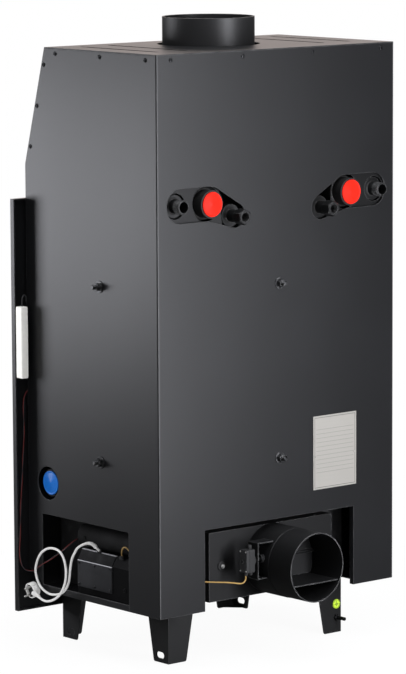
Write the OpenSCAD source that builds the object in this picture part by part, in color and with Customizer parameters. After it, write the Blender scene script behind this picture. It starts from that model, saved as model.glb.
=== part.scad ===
// Water jacket fireplace insert: welded boiler in a sheet casing, on four legs.
// Origin on the floor under the middle of the insert. +Z is up and the door faces -Y.
// Places are given as [low, high] spans: across (X), depth in front of the back panel, and height
// above the casing's bottom edge.

/* [Casing] */
// Width over the side panels
casing_w = 664; // [640:1:720]
// Height of the casing without its legs
casing_h = 1184; // [1160:1:1260]
// Depth of the side panels below the slope
casing_d = 449; // [440:1:480]
// Depth of the casing at its top
casing_top_d = 378; // [365:1:400]
// Height of the sloping stretch of the hood
slope_h = 254; // [230:1:280]
// Thickness of the casing sheets
sheet_t = 2; // [1.5:0.1:2.5]
// Width of the folded flanges inside the casing
flange_w = 12; // [10:1:16]
// Distance of the panel screws from the top edge
screw_drop = 13; // [10:1:18]
// Height of the hood front's lower edge
hood_low_h = 862; // [858:1:880]

/* [Side panel] */
// Depth where the service cut-out starts
side_cut_d = 104; // [95:1:120]
// Length of the service cut-out
side_cut_l = 298; // [280:1:310]
// Height of the service cut-out's top
side_cut_h = 171; // [160:1:180]
// Height of the bay tray's rail
rail_h = 14; // [10:1:20]
// Height where the panel's lower front corner is cut off
corner_cut_h = 44; // [35:1:60]

/* [Back panel] */
// Width of the rear cut-out
rear_cut_w = 425; // [400:1:440]
// How far the rear cut-out sits to the left of the middle, seen from the front
rear_cut_shift = 3.5; // [0:0.5:8]
// Height of the rear cut-out's top
rear_cut_h = 175; // [168:1:190]
// Radius of the rounded water cut-outs
water_cut_r = 36.5; // [34:0.5:38]
// Radius of the lobe round each coil fitting
coil_cut_r = 26; // [25.5:0.5:28]

/* [Legs] */
// Height of the legs
leg_h = 122; // [110:1:150]
// Thickness of the leg sheet
leg_t = 3; // [2.5:0.5:5]
// Width of a leg flange at its top
leg_top_w = 72; // [66:1:80]
// Width of a leg flange at the floor
leg_foot_w = 50; // [46:1:60]
// How far each leg corner is set in from the base plate's side
leg_inset = 2; // [0:1:6]
// Width of the slot in each leg's side flange
leg_slot_w = 14; // [8:1:16]
// Length of that slot
leg_slot_l = 26; // [20:1:30]
// Height of that slot above the floor
leg_slot_h = 16; // [14:1:24]

/* [Boiler] */
// Width of the boiler
boiler_w = 500; // [490:1:510]
// Height of the boiler body
boiler_h = 930; // [925:1:935]
// Gap between the back panel's outer face and the boiler
rear_gap = 76; // [70:1:84]
// Plate thickness of the boiler's outer shell
shell_t = 4; // [3:0.5:5]
// Plate thickness of the boiler's inner shell
firebox_t = 5; // [4:0.5:6]
// Width of the water space round the firebox
water_gap = 41; // [36:1:46]
// Thickness of the base plate
base_t = 4; // [3:0.5:6]
// Height of the plate over the firebox
crown_h = 735; // [728:1:745]
// Height of the smoke box over the upper tube plate
smoke_box_h = 80; // [70:1:90]
// Outer radius of a flame tube
tube_r = 28.5; // [24:0.5:30]
// Distance between flame tubes
tube_pitch = 76; // [70:1:78]
// Outer radius of the flue collar
flue_r = 100; // [90:1:105]
// Depth of the flue collar's axis
flue_d = 228; // [222:1:236]
// Height of the flue collar above the casing
flue_rise = 59; // [40:1:80]
// Width of the ring gap between flue collar and top cover
flue_gap = 11; // [6:1:14]

/* [Water fittings] */
// Height of the supply sockets and nipples
supply_h = 867; // [862:1:870]
// Distance of the supply sockets from the middle
socket_x = 196; // [190:1:200]
// Outer radius of a water socket
socket_r = 30; // [28:0.5:31]
// Bore radius of a water socket
socket_bore_r = 22.5; // [20:0.5:23.5]
// How far the supply sockets stand out of the back panel
socket_out = 13; // [8:1:20]
// Distance of the nipples from the middle
nipple_x = 280; // [278:1:284]
// Outer radius of a nipple
nipple_r = 15.2; // [14.5:0.1:16]
// Bore radius of a nipple
nipple_bore_r = 12.05; // [11:0.05:12.5]
// How far the nipples stand out of the back panel
nipple_out = 22; // [15:1:30]
// Distance of the coil fittings from the middle
coil_x = 125; // [122:1:130]
// Height of the coil fittings
coil_h = 837; // [833:1:840]
// Bore radius of a coil fitting
coil_bore_r = 9.3; // [8:0.1:10]
// Width across the flats of a coil fitting's hexagon
coil_hex = 30; // [27:0.5:34]
// How far the coil fittings stand out of the back panel
coil_out = 38; // [30:1:45]
// Height of the return sockets
return_h = 240; // [232:1:250]
// Depth of the return sockets
return_d = 380; // [374:1:388]
// How far the return sockets stay inside the side panel
return_inset = 9; // [5:1:14]
// Radius of the hole in the side panel at a return socket
return_hole_r = 36.5; // [34:0.5:40]
// Outer radius of a plug cap
cap_r = 26.3; // [25:0.1:28]
// Thickness of a plug cap's head
cap_t = 3; // [2:0.5:5]

/* [Firebox] */
// Width of the firebox opening
mouth_w = 400; // [390:1:402]
// Height of the firebox opening's lower edge
mouth_low_h = 150; // [146:1:156]
// Height of the firebox opening's upper edge
mouth_high_h = 720; // [700:1:724]
// Height of the hearth floor's underside
hearth_h = 124; // [120:1:126]
// Thickness of the hearth floor
hearth_t = 25; // [20:1:26]
// Width of the grate
grate_w = 198; // [160:1:220]
// Depth of the grate
grate_d = 128; // [100:1:160]
// Thickness of the grate
grate_t = 18; // [14:1:20]
// Number of bars in the grate
grate_bars = 11; // [7:2:13]
// Thickness of the firebox linings
lining_t = 25; // [20:1:30]
// Height of the firebox linings
lining_h = 300; // [250:1:360]
// Height of the baffle above the casing's bottom edge
baffle_h = 600; // [580:1:640]
// Thickness of the baffle
baffle_t = 14; // [10:1:20]

/* [Front] */
// Width of the front plate
front_w = 728; // [715:1:800]
// Height of the front plate's lower edge
front_low_h = -50; // [-70:1:-30]
// How far the front plate reaches above the door
front_over = 95; // [85:1:100]
// Depth of the front plate's folded edge
front_fold = 12; // [10:1:16]
// Thickness of the front plate
front_t = 3; // [2:0.5:4]
// Width of the door
door_w = 512; // [504:1:516]
// Height of the door's lower edge
door_low_h = 110; // [108:1:114]
// How far the door reaches above the firebox opening
door_over = 40; // [30:1:50]
// Thickness of the door frame
door_t = 28; // [26:1:34]
// Gap between door and front plate
door_gap = 2; // [1.5:0.1:3]
// Thickness of the door glass
glass_t = 4; // [3:0.5:5]
// Width of the sealing rope
seal_w = 10; // [8:1:11]
// Radius of the hinge pins
pin_r = 5; // [4:0.5:6]
// Gap between the hinge pins' axis and the door's edge
hinge_gap = 12; // [11.5:0.5:14]
// Length of the handle's grip
grip_l = 84; // [70:1:92]
// Angle that the handle turns
handle_turn = 60; // [50:1:70]
// Length of the air slider
slider_w = 260; // [240:1:280]
// Height of the air slider
slider_h = 30; // [26:1:34]

/* [Ash drawer] */
// Width of the ash drawer
drawer_w = 360; // [330:1:362]
// Length of the ash drawer behind the front plate
drawer_l = 289; // [250:1:310]
// Height of the ash drawer's upper edge
drawer_high_h = 100; // [90:1:100]
// Sheet thickness of the ash drawer
drawer_t = 2; // [1.5:0.1:3]

/* [Rear air] */
// Width of the air box
air_box_w = 350; // [330:1:390]
// Height of the air box
air_box_h = 150; // [150:1:160]
// Height of the air box's lower edge
air_box_low_h = 10; // [5:1:14]
// Depth of the air box's rear face
air_box_d = 27; // [20:1:34]
// Outer radius of the air duct
duct_r = 75; // [72:0.5:75]
// Wall of the air duct
duct_t = 2; // [1.5:0.1:2.2]
// Length of the air duct
duct_l = 149; // [140:1:170]
// How far the partition lies below the duct's axis
partition_drop = 34; // [30:1:38]
// How far the damper shaft lies above the duct's axis
shaft_rise = 16; // [14:1:18]
// How far the damper shaft lies behind the back panel's outer face
shaft_out = 27; // [24:1:32]
// Radius of the damper shaft
shaft_r = 4; // [3:0.5:5]

/* [Service bay] */
// Width of the control box
control_w = 60; // [50:1:66]
// Length of the control box
control_l = 192; // [186:1:196]
// Height of the control box's upright face
control_face_h = 83; // [76:1:88]
// Height of the control box
control_h = 104; // [98:1:108]
// Radius of the drain header
header_r = 25; // [20:1:30]
// Radius of the mains cord
mains_r = 2.6; // [2.4:0.1:4]
// Radius of the mains plug
plug_r = 17; // [16:0.5:18]
// Thickness of the mains plug's body
plug_t = 20; // [18:1:22]
// Radius of the sensor cable
sensor_r = 2.2; // [1.5:0.1:3]
// Height of the display housing
display_h = 156; // [140:1:170]

/* [Hidden] */
$fn = 64;
overlap = 0.5;
// Gap between the casing and the front plate's back edge
front_gap = 1;
// How far the handle's grip reaches in front of the door
handle_out = 28;
front_d = casing_d + front_gap;
door_high_h = mouth_high_h + door_over;
front_high_h = door_high_h + front_over;
plate_d = front_d + front_fold;
door_d = plate_d + door_gap;
front_reach = door_d + door_t + handle_out;
duct_out = duct_l - air_box_d;
back_y = (front_reach - duct_out) / 2;
side_x = casing_w / 2;
boiler_x = boiler_w / 2;
boiler_face_d = casing_d - sheet_t - 1;
shell_end_d = boiler_face_d - firebox_t;
boiler_top_h = boiler_h;
tube_l = boiler_top_h - smoke_box_h - crown_h;
inner_x = boiler_x - shell_t - water_gap;
fire_x = inner_x - firebox_t;
inner_d = rear_gap + shell_t + water_gap;
fire_d = inner_d + firebox_t;
slope_run = (casing_d - casing_top_d) / slope_h;
slope_start_h = casing_h - slope_h;
panel_top_h = casing_h - sheet_t;
panel_top_d = casing_top_d + slope_run * sheet_t;
side_cut_end = side_cut_d + side_cut_l;
rear_cut = [-rear_cut_w / 2 - rear_cut_shift, rear_cut_w / 2 - rear_cut_shift];

// Screws along the top of each side panel and down its slope, as [depth, height]
screw_r = 2.1;
screw_head_r = 4;
screw_head_t = 2.5;
top_screw_h = casing_h - screw_drop;
side_top_screws = [for (s = [0.1, 0.5, 0.9]) [s * casing_top_d, top_screw_h]];
function slope_point(s) = [casing_d - 8 - s * slope_run * slope_h, slope_start_h + s * slope_h];
slope_screws = [for (s = [0.15, 0.5, 0.85]) slope_point(s)];
rear_screws = [for (x = [295, 99, -99, -295]) [x * casing_w / 664, top_screw_h]];

// Spacer bolts between the casing and the boiler
spacer_r = 5;
spacer_head_r = 9.2;
spacer_washer_r = 13;
side_spacers = [[196, 686], [196, 310]];
rear_spacers = [[-2, 684], [-2, 306]];
index_hole_r = 2.5;

// How far the collar's seat for the flue pipe reaches into the casing
flue_seat_in = 12;

// Plug caps, sockets and bosses
boss_r = 25;
nipple_thread_l = 20;
coil_thread_l = 24;
boss_d = 10;
cap_stem_r = socket_bore_r - 0.5;
cap_stem_l = 12;
elbow_r = nipple_x - boiler_x;
elbow_d = rear_gap + 54;

// Door, handle and hinge
mouth_x = mouth_w / 2;
glass_lip = 8;
rebate_x = mouth_x + glass_lip;
door_x = door_w / 2;
mouth_margin = 10;
hinge_x = -(door_x + hinge_gap);
hinge_d = door_d + door_t / 2;
hinge_hs = [door_low_h + 90, door_high_h - 130];
hinge_l = 44;
pin_clearance = 0.05;
handle_x = door_x - 18;
handle_h = (door_low_h + door_high_h) / 2;
finger_l = 34;
finger_t = 8;
finger_w = 12;
spindle_r = 5;
hub_r = 14;
keeper_gap = 3;
keeper_w = 23;

// Ash drawer and its runners
runner_t = 8;
drawer_gap = 1;
drawer_low_h = base_t + runner_t;
drawer_x = drawer_w / 2;
front_opening_x = drawer_x + 6;
drawer_face_t = 6;
slider_t = 3;
slider_mid_h = (door_high_h + front_high_h) / 2 - 4;
slot_count = 5;
slot_pitch = 46;
slot_w = 22;
slot_tall = 12;

// Rear air box, duct and actuator
duct_h = air_box_low_h + air_box_h / 2;
duct_bore_r = duct_r - duct_t;
shaft_h = duct_h + shaft_rise;
blade_gap = 1.5;
blade_t = 2;
bracket_t = 2;
bracket_x = duct_r + 23;
bracket_w = 32;
actuator_x = [bracket_x + 4, bracket_x + 28];
actuator_w = 24;
actuator_h = 50;
air_hole_x = 120;
air_hole_hs = [30, 88];

// Service bay
bay_x = boiler_x + 4;
bay_floor_t = 2;
control_d = side_cut_d + 4;
control_x = bay_x + control_w;
header_l = 190;
header_d = 130;
header_h = control_h + header_r;
header_x = boiler_x + header_r;
ledge = 12;
gland_r = 5;
plug_turn = 12;
display_x = [front_w / 2 - 20, front_w / 2 - 1.5];
display_low_h = 466;

// Routes of the cords, each point as [distance to the left of the bay's outer face, depth, height]
mains_bend_r = 25;
mains_arc = [for (t = [45:20:145])
    [mains_bend_r * (cos(t) - cos(45)) + 14, 238 + pow((t - 45) / 28, 2), mains_bend_r * (sin(t) - sin(45)) + 121]];
mains_route = concat([[26, 238, 109], [20, 238, 115]], mains_arc, [
    [-27, 256, 107], [-27, 264, 95], [-24, 272, 82], [-20, 280, 68], [-17, 286, 52], [-16, 292, 35],
    [-16, 303, 19], [-17, 319, 8], [-19, 338, 3], [-20, 358, 3], [-20, 379, 10], [-20, 395, 25],
    [-20, 402, 47], [-19, 397, 69], [-18, 384, 88], [-17, 364, 100], [-17, 341, 104], [-18, 318, 100],
    [-21, 300, 86], [-24, 290, 66], [-26, 289, 44], [-27, 297, 23], [-28, 312, 5], [-30, 332, -7],
    [-31, 353, -12], [-30, 374, -9], [-28, 395, -3]
]);
sensor_route = [
    [76, 430, 452], [66, 430, 452], [56, 430, 452], [44, 433, 452], [31, 439, 451], [17, 446, 447],
    [4, 451, 438], [-5, 454, 424], [-8, 454, 405], [-9, 453, 380], [-9, 453, 340], [-12, 452, 300],
    [-15, 452, 260], [-19, 451, 220], [-22, 450, 180], [-25, 449, 140], [-28, 447, 105], [-29, 446, 75],
    [-25, 445, 54], [-17, 443, 42], [-9, 436, 39], [-7, 424, 42], [-6, 410, 51], [-4, 397, 60],
    [2, 385, 68], [8, 368, 80], [11, 350, 92], [14, 336, 103], [24, 328, 114], [40, 327, 121],
    [56, 328, 125], [66, 328, 125], [76, 328, 125]
];
damper_route = [
    [26, 160, 109], [26, 160, 117], [26, 158, 124], [25, 151, 129], [25, 143, 129], [24, 134, 125],
    [24, 123, 118], [26, 105, 110], [32, 80, 100], [46, 56, 84], [66, 38, 72], [92, 27, 64],
    [116, 20, 62], [134, 11, 61], [152, -3, 60], [170, -16, 59], [184, -24, 57], [196, -29, 55],
    [204, -30, 56], [209, -30, 60], [210.5, -30, 65], [210.5, -30, 70]
];
display_route = [
    [-20, 440, 622], [-20, 440, 629], [-20, 440, 636], [-17, 441, 643], [-10, 444, 646], [-3, 448, 641],
    [0, 451, 632], [5, 452, 623], [14, 450, 617], [26, 446, 613], [40, 441, 611], [56, 433, 610],
    [66, 430, 610], [76, 430, 610]
];
damper_cable_r = 1.5;
display_wire_r = 1.2;

function y_at(d) = back_y - d;
function z_at(h) = leg_h + h;
function around(mid, size) = [mid - size / 2, mid + size / 2];
function span(mid, low, high) = [mid + low, mid + high];

// Block over three spans
module slab(x, d, h) {
    translate([x[0], y_at(d[1]), z_at(h[0])]) cube([x[1] - x[0], d[1] - d[0], h[1] - h[0]]);
}

// Round bars along the three directions
module bar_x(r, x, d, h) {
    translate([x[0], y_at(d), z_at(h)]) rotate([0, 90, 0]) cylinder(r = r, h = x[1] - x[0]);
}
module bar_y(r, x, d, h) {
    translate([x, y_at(d[0]), z_at(h)]) rotate([90, 0, 0]) cylinder(r = r, h = d[1] - d[0]);
}
module bar_z(r, x, d, h) {
    translate([x, y_at(d), z_at(h[0])]) cylinder(r = r, h = h[1] - h[0]);
}

// Flat sheets cut from outlines: [depth, height], [across, height] and [across, depth]
module side_sheet(x) {
    translate([x[1], back_y, leg_h]) rotate([90, 0, -90]) linear_extrude(x[1] - x[0]) children();
}
module rear_sheet(d) {
    translate([0, y_at(d[0]), leg_h]) rotate([90, 0, 0]) linear_extrude(d[1] - d[0]) children();
}
module plan_sheet(h) {
    translate([0, back_y, z_at(h[0])]) mirror([0, 1, 0]) linear_extrude(h[1] - h[0]) children();
}
module both_sides() {
    children();
    mirror([1, 0, 0]) children();
}
module rect(x, y) {
    translate([x[0], y[0]]) square([x[1] - x[0], y[1] - y[0]]);
}

// Two circles joined by their outer tangents
module capsule(p, rp, q, rq) {
    v = q - p;
    dir = atan2(v.y, v.x);
    off = acos((rp - rq) / norm(v));
    up = [cos(dir + off), sin(dir + off)];
    down = [cos(dir - off), sin(dir - off)];
    translate(p) circle(rp);
    translate(q) circle(rq);
    polygon([p + rp * up, p + rp * down, q + rq * down, q + rq * up]);
}

// Obround hole outline of full length l and width w, lying along the first direction
module obround(at, l, w) {
    capsule([at.x - (l - w) / 2, at.y], w / 2, [at.x + (l - w) / 2, at.y], w / 2);
}

// Round cord along hand-chosen points, rounded by a curve through them
function curve_at(p, i, t) =
    let (a = p[max(i - 1, 0)], b = p[i], c = p[i + 1], d = p[min(i + 2, len(p) - 1)])
    0.5 * ((2 * b) + (c - a) * t + (2 * a - 5 * b + 4 * c - d) * t * t
        + (3 * b - a - 3 * c + d) * t * t * t);
function curve(p, steps) = concat(
    [for (i = [0 : len(p) - 2], k = [0 : steps - 1]) curve_at(p, i, k / steps)],
    [p[len(p) - 1]]);
function unit(v) = v / norm(v);
function heading(p, i) = unit(p[min(i + 1, len(p) - 1)] - p[max(i - 1, 0)]);
function carried(u, t) = unit(u - (u * t) * t);
function sides_of(p, i, u) = i == len(p) ? []
    : let (w = carried(u, heading(p, i))) concat([w], sides_of(p, i + 1, w));
module cord(route, r, steps, sides) {
    places = [for (q = route) [side_x - q[0], y_at(q[1]), z_at(q[2])]];
    p = curve(places, steps);
    n = len(p);
    u = sides_of(p, 0, carried([0.13, 0.31, 0.94], heading(p, 0)));
    rings = [for (i = [0 : n - 1], k = [0 : sides - 1])
        let (v = cross(heading(p, i), u[i]), a = 360 * k / sides)
        p[i] + r * (cos(a) * u[i] + sin(a) * v)];
    walls = [for (i = [0 : n - 2], k = [0 : sides - 1])
        let (m = (k + 1) % sides, o = i * sides)
        [[o + k, o + sides + k, o + sides + m], [o + k, o + sides + m, o + m]]];
    start = [for (k = [1 : sides - 2]) [0, k, k + 1]];
    end = [for (k = [1 : sides - 2]) [for (m = [0, k + 1, k]) (n - 1) * sides + m]];
    polyhedron(rings, concat([for (w = walls) w[0]], [for (w = walls) w[1]], start, end));
}

// Casing

module side_outline() {
    difference() {
        polygon([[sheet_t, 0], [side_cut_end, 0], [side_cut_end, rail_h], [casing_d, corner_cut_h],
            [casing_d, slope_start_h], [panel_top_d, panel_top_h], [sheet_t, panel_top_h]]);
        for (s = concat(side_top_screws, slope_screws)) translate(s) circle(screw_r);
        for (s = side_spacers) translate(s) circle(spacer_r + 0.3);
        for (s = side_spacers) translate(s + [16, 0]) circle(index_hole_r);
        translate([return_d, return_h]) circle(return_hole_r);
    }
}
module corner_flange() {
    slab([side_x - sheet_t - flange_w, side_x - sheet_t], [sheet_t, 2 * sheet_t], [0, panel_top_h]);
}
module side_panel_right() {
    color("#26282a") {
        side_sheet([side_x - sheet_t, side_x]) difference() {
            side_outline();
            rect([side_cut_d, side_cut_end], [-1, side_cut_h]);
        }
        corner_flange();
    }
}
module side_panel_left() {
    color("#26282a") mirror([1, 0, 0]) {
        side_sheet([side_x - sheet_t, side_x]) side_outline();
        corner_flange();
    }
}

module water_cut() {
    a = [nipple_x - 9, supply_h];
    b = [socket_x - 6, supply_h];
    c = [coil_x - 5, coil_h + 1];
    capsule(a, water_cut_r, b, water_cut_r);
    capsule(b, water_cut_r, c, coil_cut_r);
}
module back_panel() {
    color("#2c2d2f") {
        rear_sheet([0, sheet_t]) difference() {
            rect([-side_x, side_x], [0, panel_top_h]);
            rect(rear_cut, [-1, rear_cut_h]);
            water_cut();
            mirror([1, 0]) water_cut();
            for (s = rear_screws) translate(s) circle(screw_r);
            for (s = rear_spacers) translate(s) circle(spacer_r + 0.3);
            for (s = rear_spacers) translate(s - [19, 1]) rotate(60) obround([0, 0], 9, 5);
        }
        slab([rear_cut[0] - sheet_t, rear_cut[0]], [sheet_t - overlap, flange_w], [0, rear_cut_h]);
        slab([rear_cut[1], rear_cut[1] + sheet_t], [sheet_t - overlap, flange_w], [0, rear_cut_h]);
    }
}

module top_cover() {
    lip = screw_drop + 12;
    color("#3a3836") {
        plan_sheet([panel_top_h, casing_h]) difference() {
            rect([-side_x, side_x], [0, casing_top_d]);
            translate([0, flue_d]) circle(flue_r + flue_gap, $fn = 96);
            for (x = [0.58, 0.81] * side_x) for (s = [-1, 1])
                translate([s * x, casing_top_d / 2 + 12]) rotate(90) obround([0, 0], 260, 12);
        }
        difference() {
            both_sides() slab([side_x - 2 * sheet_t, side_x - sheet_t],
                [2 * sheet_t, casing_top_d - 14], [panel_top_h - lip, panel_top_h + overlap]);
            for (s = side_top_screws) bar_x(screw_r, [-side_x, side_x], s[0], s[1]);
        }
        difference() {
            slab([flange_w + sheet_t - side_x, side_x - flange_w - sheet_t],
                [sheet_t, 2 * sheet_t], [panel_top_h - lip, panel_top_h + overlap]);
            for (s = rear_screws) bar_y(screw_r, s[0], [0, 3 * sheet_t], s[1]);
        }
    }
}

module hood_front() {
    in_x = side_x - sheet_t;
    back_edge = flange_w + 8;
    color("#26282a") {
        side_sheet([-in_x, in_x]) polygon([[casing_d, hood_low_h], [casing_d, slope_start_h],
            [panel_top_d, panel_top_h], [panel_top_d - sheet_t, panel_top_h],
            [casing_d - sheet_t, slope_start_h - 0.4], [casing_d - sheet_t, hood_low_h]]);
        difference() {
            both_sides() side_sheet([in_x - sheet_t, in_x]) polygon([[casing_d - overlap, hood_low_h],
                [casing_d - overlap, slope_start_h], [panel_top_d - overlap, panel_top_h - 30],
                [panel_top_d - overlap, panel_top_h - 40],
                [casing_d - back_edge, slope_start_h], [casing_d - back_edge, hood_low_h]]);
            for (s = slope_screws) bar_x(screw_r, [-side_x, side_x], s[0], s[1]);
        }
    }
}

// Pan-head screws: a flat head on the sheet and a shank through sheet and flange
module panel_screws() {
    shank = 3 * sheet_t;
    color("#1c1d1e") {
        for (s = concat(side_top_screws, slope_screws)) both_sides() {
            bar_x(screw_head_r, [side_x, side_x + screw_head_t], s[0], s[1]);
            bar_x(screw_r, [side_x - shank, side_x + 1], s[0], s[1]);
        }
        for (s = rear_screws) {
            bar_y(screw_head_r, s[0], [-screw_head_t, 0], s[1]);
            bar_y(screw_r, s[0], [-1, shank], s[1]);
        }
    }
}

// Bolts that hold the panels at their distance from the boiler
module spacer_bolts() {
    head = 9;
    end = 20;
    color("#2f3133") {
        for (s = side_spacers) both_sides() {
            bar_x(spacer_washer_r, [side_x, side_x + 2], s[0], s[1]);
            translate([side_x + 2, y_at(s[0]), z_at(s[1])]) rotate([0, 90, 0])
                cylinder(r = spacer_head_r, h = head, $fn = 6);
            bar_x(spacer_r, [boiler_x, side_x + end], s[0], s[1]);
        }
        for (s = rear_spacers) {
            bar_y(spacer_washer_r, s[0], [-2, 0], s[1]);
            translate([s[0], y_at(-2), z_at(s[1])]) rotate([-90, 0, 0])
                cylinder(r = spacer_head_r, h = head, $fn = 6);
            bar_y(spacer_r, s[0], [-end, rear_gap], s[1]);
        }
    }
}

plate_x = [-223, -98];
plate_h = [224, 385];
plate_t = 1;
rivet_r = 2;
module rating_plate() {
    rivet_h = (plate_h[0] + plate_h[1]) / 2 - 8;
    color("#c3c5c6") {
        slab(plate_x, [-plate_t, 0], plate_h);
        for (x = [plate_x[0] + 6, plate_x[1] - 6])
            bar_y(rivet_r, x, [-plate_t - 1, overlap - plate_t], rivet_h);
    }
}

// Base

module base_plate() {
    lip_x = [drawer_x + drawer_gap, drawer_x + drawer_gap + 4];
    color("#232426") {
        slab([-boiler_x, boiler_x], [rear_gap, boiler_face_d], [0, base_t]);
        both_sides() {
            slab([drawer_x - 30, lip_x[1]], [front_d - drawer_l, shell_end_d - 3],
                [base_t - overlap, drawer_low_h]);
            slab(lip_x, [front_d - drawer_l, shell_end_d - 3], [drawer_low_h - overlap, drawer_low_h + 14]);
        }
    }
}

module bay_floor() {
    slab([boiler_x, side_x - sheet_t], [2 * sheet_t, casing_d - 6], [0, bay_floor_t]);
}
module bay_trays() {
    rail_d = [side_cut_d, side_cut_end];
    color("#3b3d3f") {
        both_sides() bay_floor();
        slab([side_x - sheet_t - overlap, side_x], rail_d, [0, bay_floor_t]);
        slab([side_x - sheet_t, side_x], rail_d, [0, rail_h]);
        slab([sheet_t - side_x, 2 * sheet_t - side_x], rail_d, [0, rail_h]);
    }
}

// One leg: an L of two tapered flanges, a plate under the base and a small foot plate.
// Its corner is at the origin, and the flanges run along +X and +Y.
module leg() {
    hole = leg_top_w / 2;
    difference() {
        union() {
            rotate([90, 0, 0]) translate([0, 0, -leg_t]) linear_extrude(leg_t) leg_outline();
            rotate([90, 0, 90]) linear_extrude(leg_t) difference() {
                leg_outline();
                obround([leg_foot_w / 2 + 3, leg_slot_h], leg_slot_l, leg_slot_w);
            }
            translate([0, 0, leg_h - leg_t]) cube([leg_top_w, leg_top_w, leg_t]);
            linear_extrude(leg_t) polygon([[0, 0], [leg_foot_w - 14, 0], [0, leg_foot_w - 14]]);
        }
        translate([hole, hole, 0]) cylinder(r = spacer_r + 0.3, h = leg_h + 1);
    }
}
module leg_outline() {
    polygon([[0, 0], [leg_foot_w - 3, 0], [leg_foot_w, 3], [leg_top_w, leg_h], [0, leg_h]]);
}
leg_x = boiler_x - leg_inset;
leg_front_d = boiler_face_d - 5;
module place_leg(side, front) {
    d = front ? leg_front_d : rear_gap;
    translate([side * leg_x, y_at(d), 0]) mirror([side > 0 ? 1 : 0, 0, 0])
        mirror([0, front ? 0 : 1, 0]) children();
}
module rear_legs() {
    color("#2a2c2e") for (side = [-1, 1]) place_leg(side, false) leg();
}
module front_legs() {
    color("#2a2c2e") for (side = [-1, 1]) place_leg(side, true) leg();
}
module leg_bolts() {
    at = leg_top_w / 2;
    color("#6d7073") for (side = [-1, 1], front = [false, true]) place_leg(side, front) {
        translate([at, at, leg_h - 22]) cylinder(r = spacer_r, h = 22);
        translate([at, at, leg_h - leg_t - 8]) cylinder(r = spacer_head_r, h = 8, $fn = 6);
    }
}
earth_x = -(leg_x - 14);
module earth_bolt() {
    h = -88;
    color("#77797b") {
        bar_y(4, earth_x, [rear_gap - 28, rear_gap], h);
        translate([earth_x, y_at(rear_gap - 5), z_at(h)]) rotate([90, 0, 0])
            cylinder(r = 7.5, h = 5, $fn = 6);
    }
}
module earth_disc() {
    color("#b8dc28") bar_y(10.5, earth_x, [rear_gap - 1, rear_gap], -58);
}

// Boiler

module shell_outline(x, d, t) {
    difference() {
        rect([-x, x], [d, shell_end_d]);
        rect([-x + t, x - t], [d + t, casing_d]);
    }
}
module jacket_outer() {
    color("#1f2022") difference() {
        union() {
            plan_sheet([base_t, boiler_top_h]) shell_outline(boiler_x, rear_gap, shell_t);
            slab([-boiler_x, boiler_x], [rear_gap, shell_end_d], [boiler_top_h - shell_t, boiler_top_h]);
        }
        bar_z(flue_r - 4, 0, flue_d, [boiler_top_h - 10, boiler_top_h + 10]);
        for (s = [-1, 1]) {
            bar_y(socket_bore_r, s * socket_x, [rear_gap - 1, rear_gap + 8], supply_h);
            bar_y(coil_bore_r - 1, s * coil_x, [rear_gap - 1, rear_gap + 8], coil_h);
        }
        bar_x(nipple_bore_r, [-boiler_x - 1, 10 - boiler_x], elbow_d + elbow_r, supply_h);
        bar_x(nipple_bore_r, [boiler_x - 10, boiler_x + 1], elbow_d + elbow_r, supply_h);
        bar_x(socket_bore_r, [-boiler_x - 1, 10 - boiler_x], return_d, return_h);
        bar_x(socket_bore_r, [boiler_x - 10, boiler_x + 1], return_d, return_h);
        slab([-air_hole_x + 4, air_hole_x - 4], [rear_gap - 1, rear_gap + 8],
            [air_hole_hs[0] + 4, air_hole_hs[1] - 4]);
    }
}

// Flame tubes stand in rows over the firebox
tube_places = [for (i = [-2 : 2], j = [0 : 2]) [i * tube_pitch, fire_d + 82 + j * tube_pitch]];
ledge_w = 12;
module jacket_inner() {
    color("#1b1b1c") {
        difference() {
            plan_sheet([base_t, crown_h - firebox_t]) shell_outline(inner_x, inner_d, firebox_t);
            slab([-air_hole_x + 4, air_hole_x - 4], [inner_d - 1, fire_d + 1],
                [air_hole_hs[0] + 4, air_hole_hs[1] - 4]);
        }
        difference() {
            slab([-air_hole_x, air_hole_x], [rear_gap + shell_t, inner_d + overlap], air_hole_hs);
            slab([-air_hole_x + 4, air_hole_x - 4], [rear_gap, fire_d],
                [air_hole_hs[0] + 4, air_hole_hs[1] - 4]);
        }
        both_sides() {
            slab([fire_x - ledge_w, fire_x + overlap], [fire_d, shell_end_d], [hearth_h - 8, hearth_h]);
            slab([fire_x - ledge_w, fire_x + overlap], [fire_d, casing_d - 90], [baffle_h - 8, baffle_h]);
        }
    }
}

module tube_plates() {
    color("#232325") for (h = [crown_h - firebox_t, crown_h + tube_l]) plan_sheet([h, h + firebox_t])
        difference() {
            rect([-inner_x, inner_x], [inner_d, shell_end_d]);
            for (p = tube_places) translate(p) circle(tube_r - 3);
        }
}
module flame_tubes() {
    color("#2a2523") for (p = tube_places) translate([p.x, y_at(p.y), z_at(crown_h)]) difference() {
        cylinder(r = tube_r, h = tube_l);
        translate([0, 0, -1]) cylinder(r = tube_r - 3, h = tube_l + 2);
    }
}

module smoke_box() {
    color("#202122") plan_sheet([crown_h + tube_l + firebox_t, boiler_top_h - shell_t])
        shell_outline(inner_x, inner_d, firebox_t);
}

// Plate that closes the water space at the front, round the firebox mouth and the ash opening
module boiler_front() {
    color("#1f2022") rear_sheet([shell_end_d, boiler_face_d]) difference() {
        rect([-boiler_x, boiler_x], [base_t, boiler_top_h]);
        rect([-mouth_x, mouth_x], [mouth_low_h, mouth_high_h]);
        rect([-front_opening_x, front_opening_x], [drawer_low_h - 2, drawer_high_h + 3]);
    }
}

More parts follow.
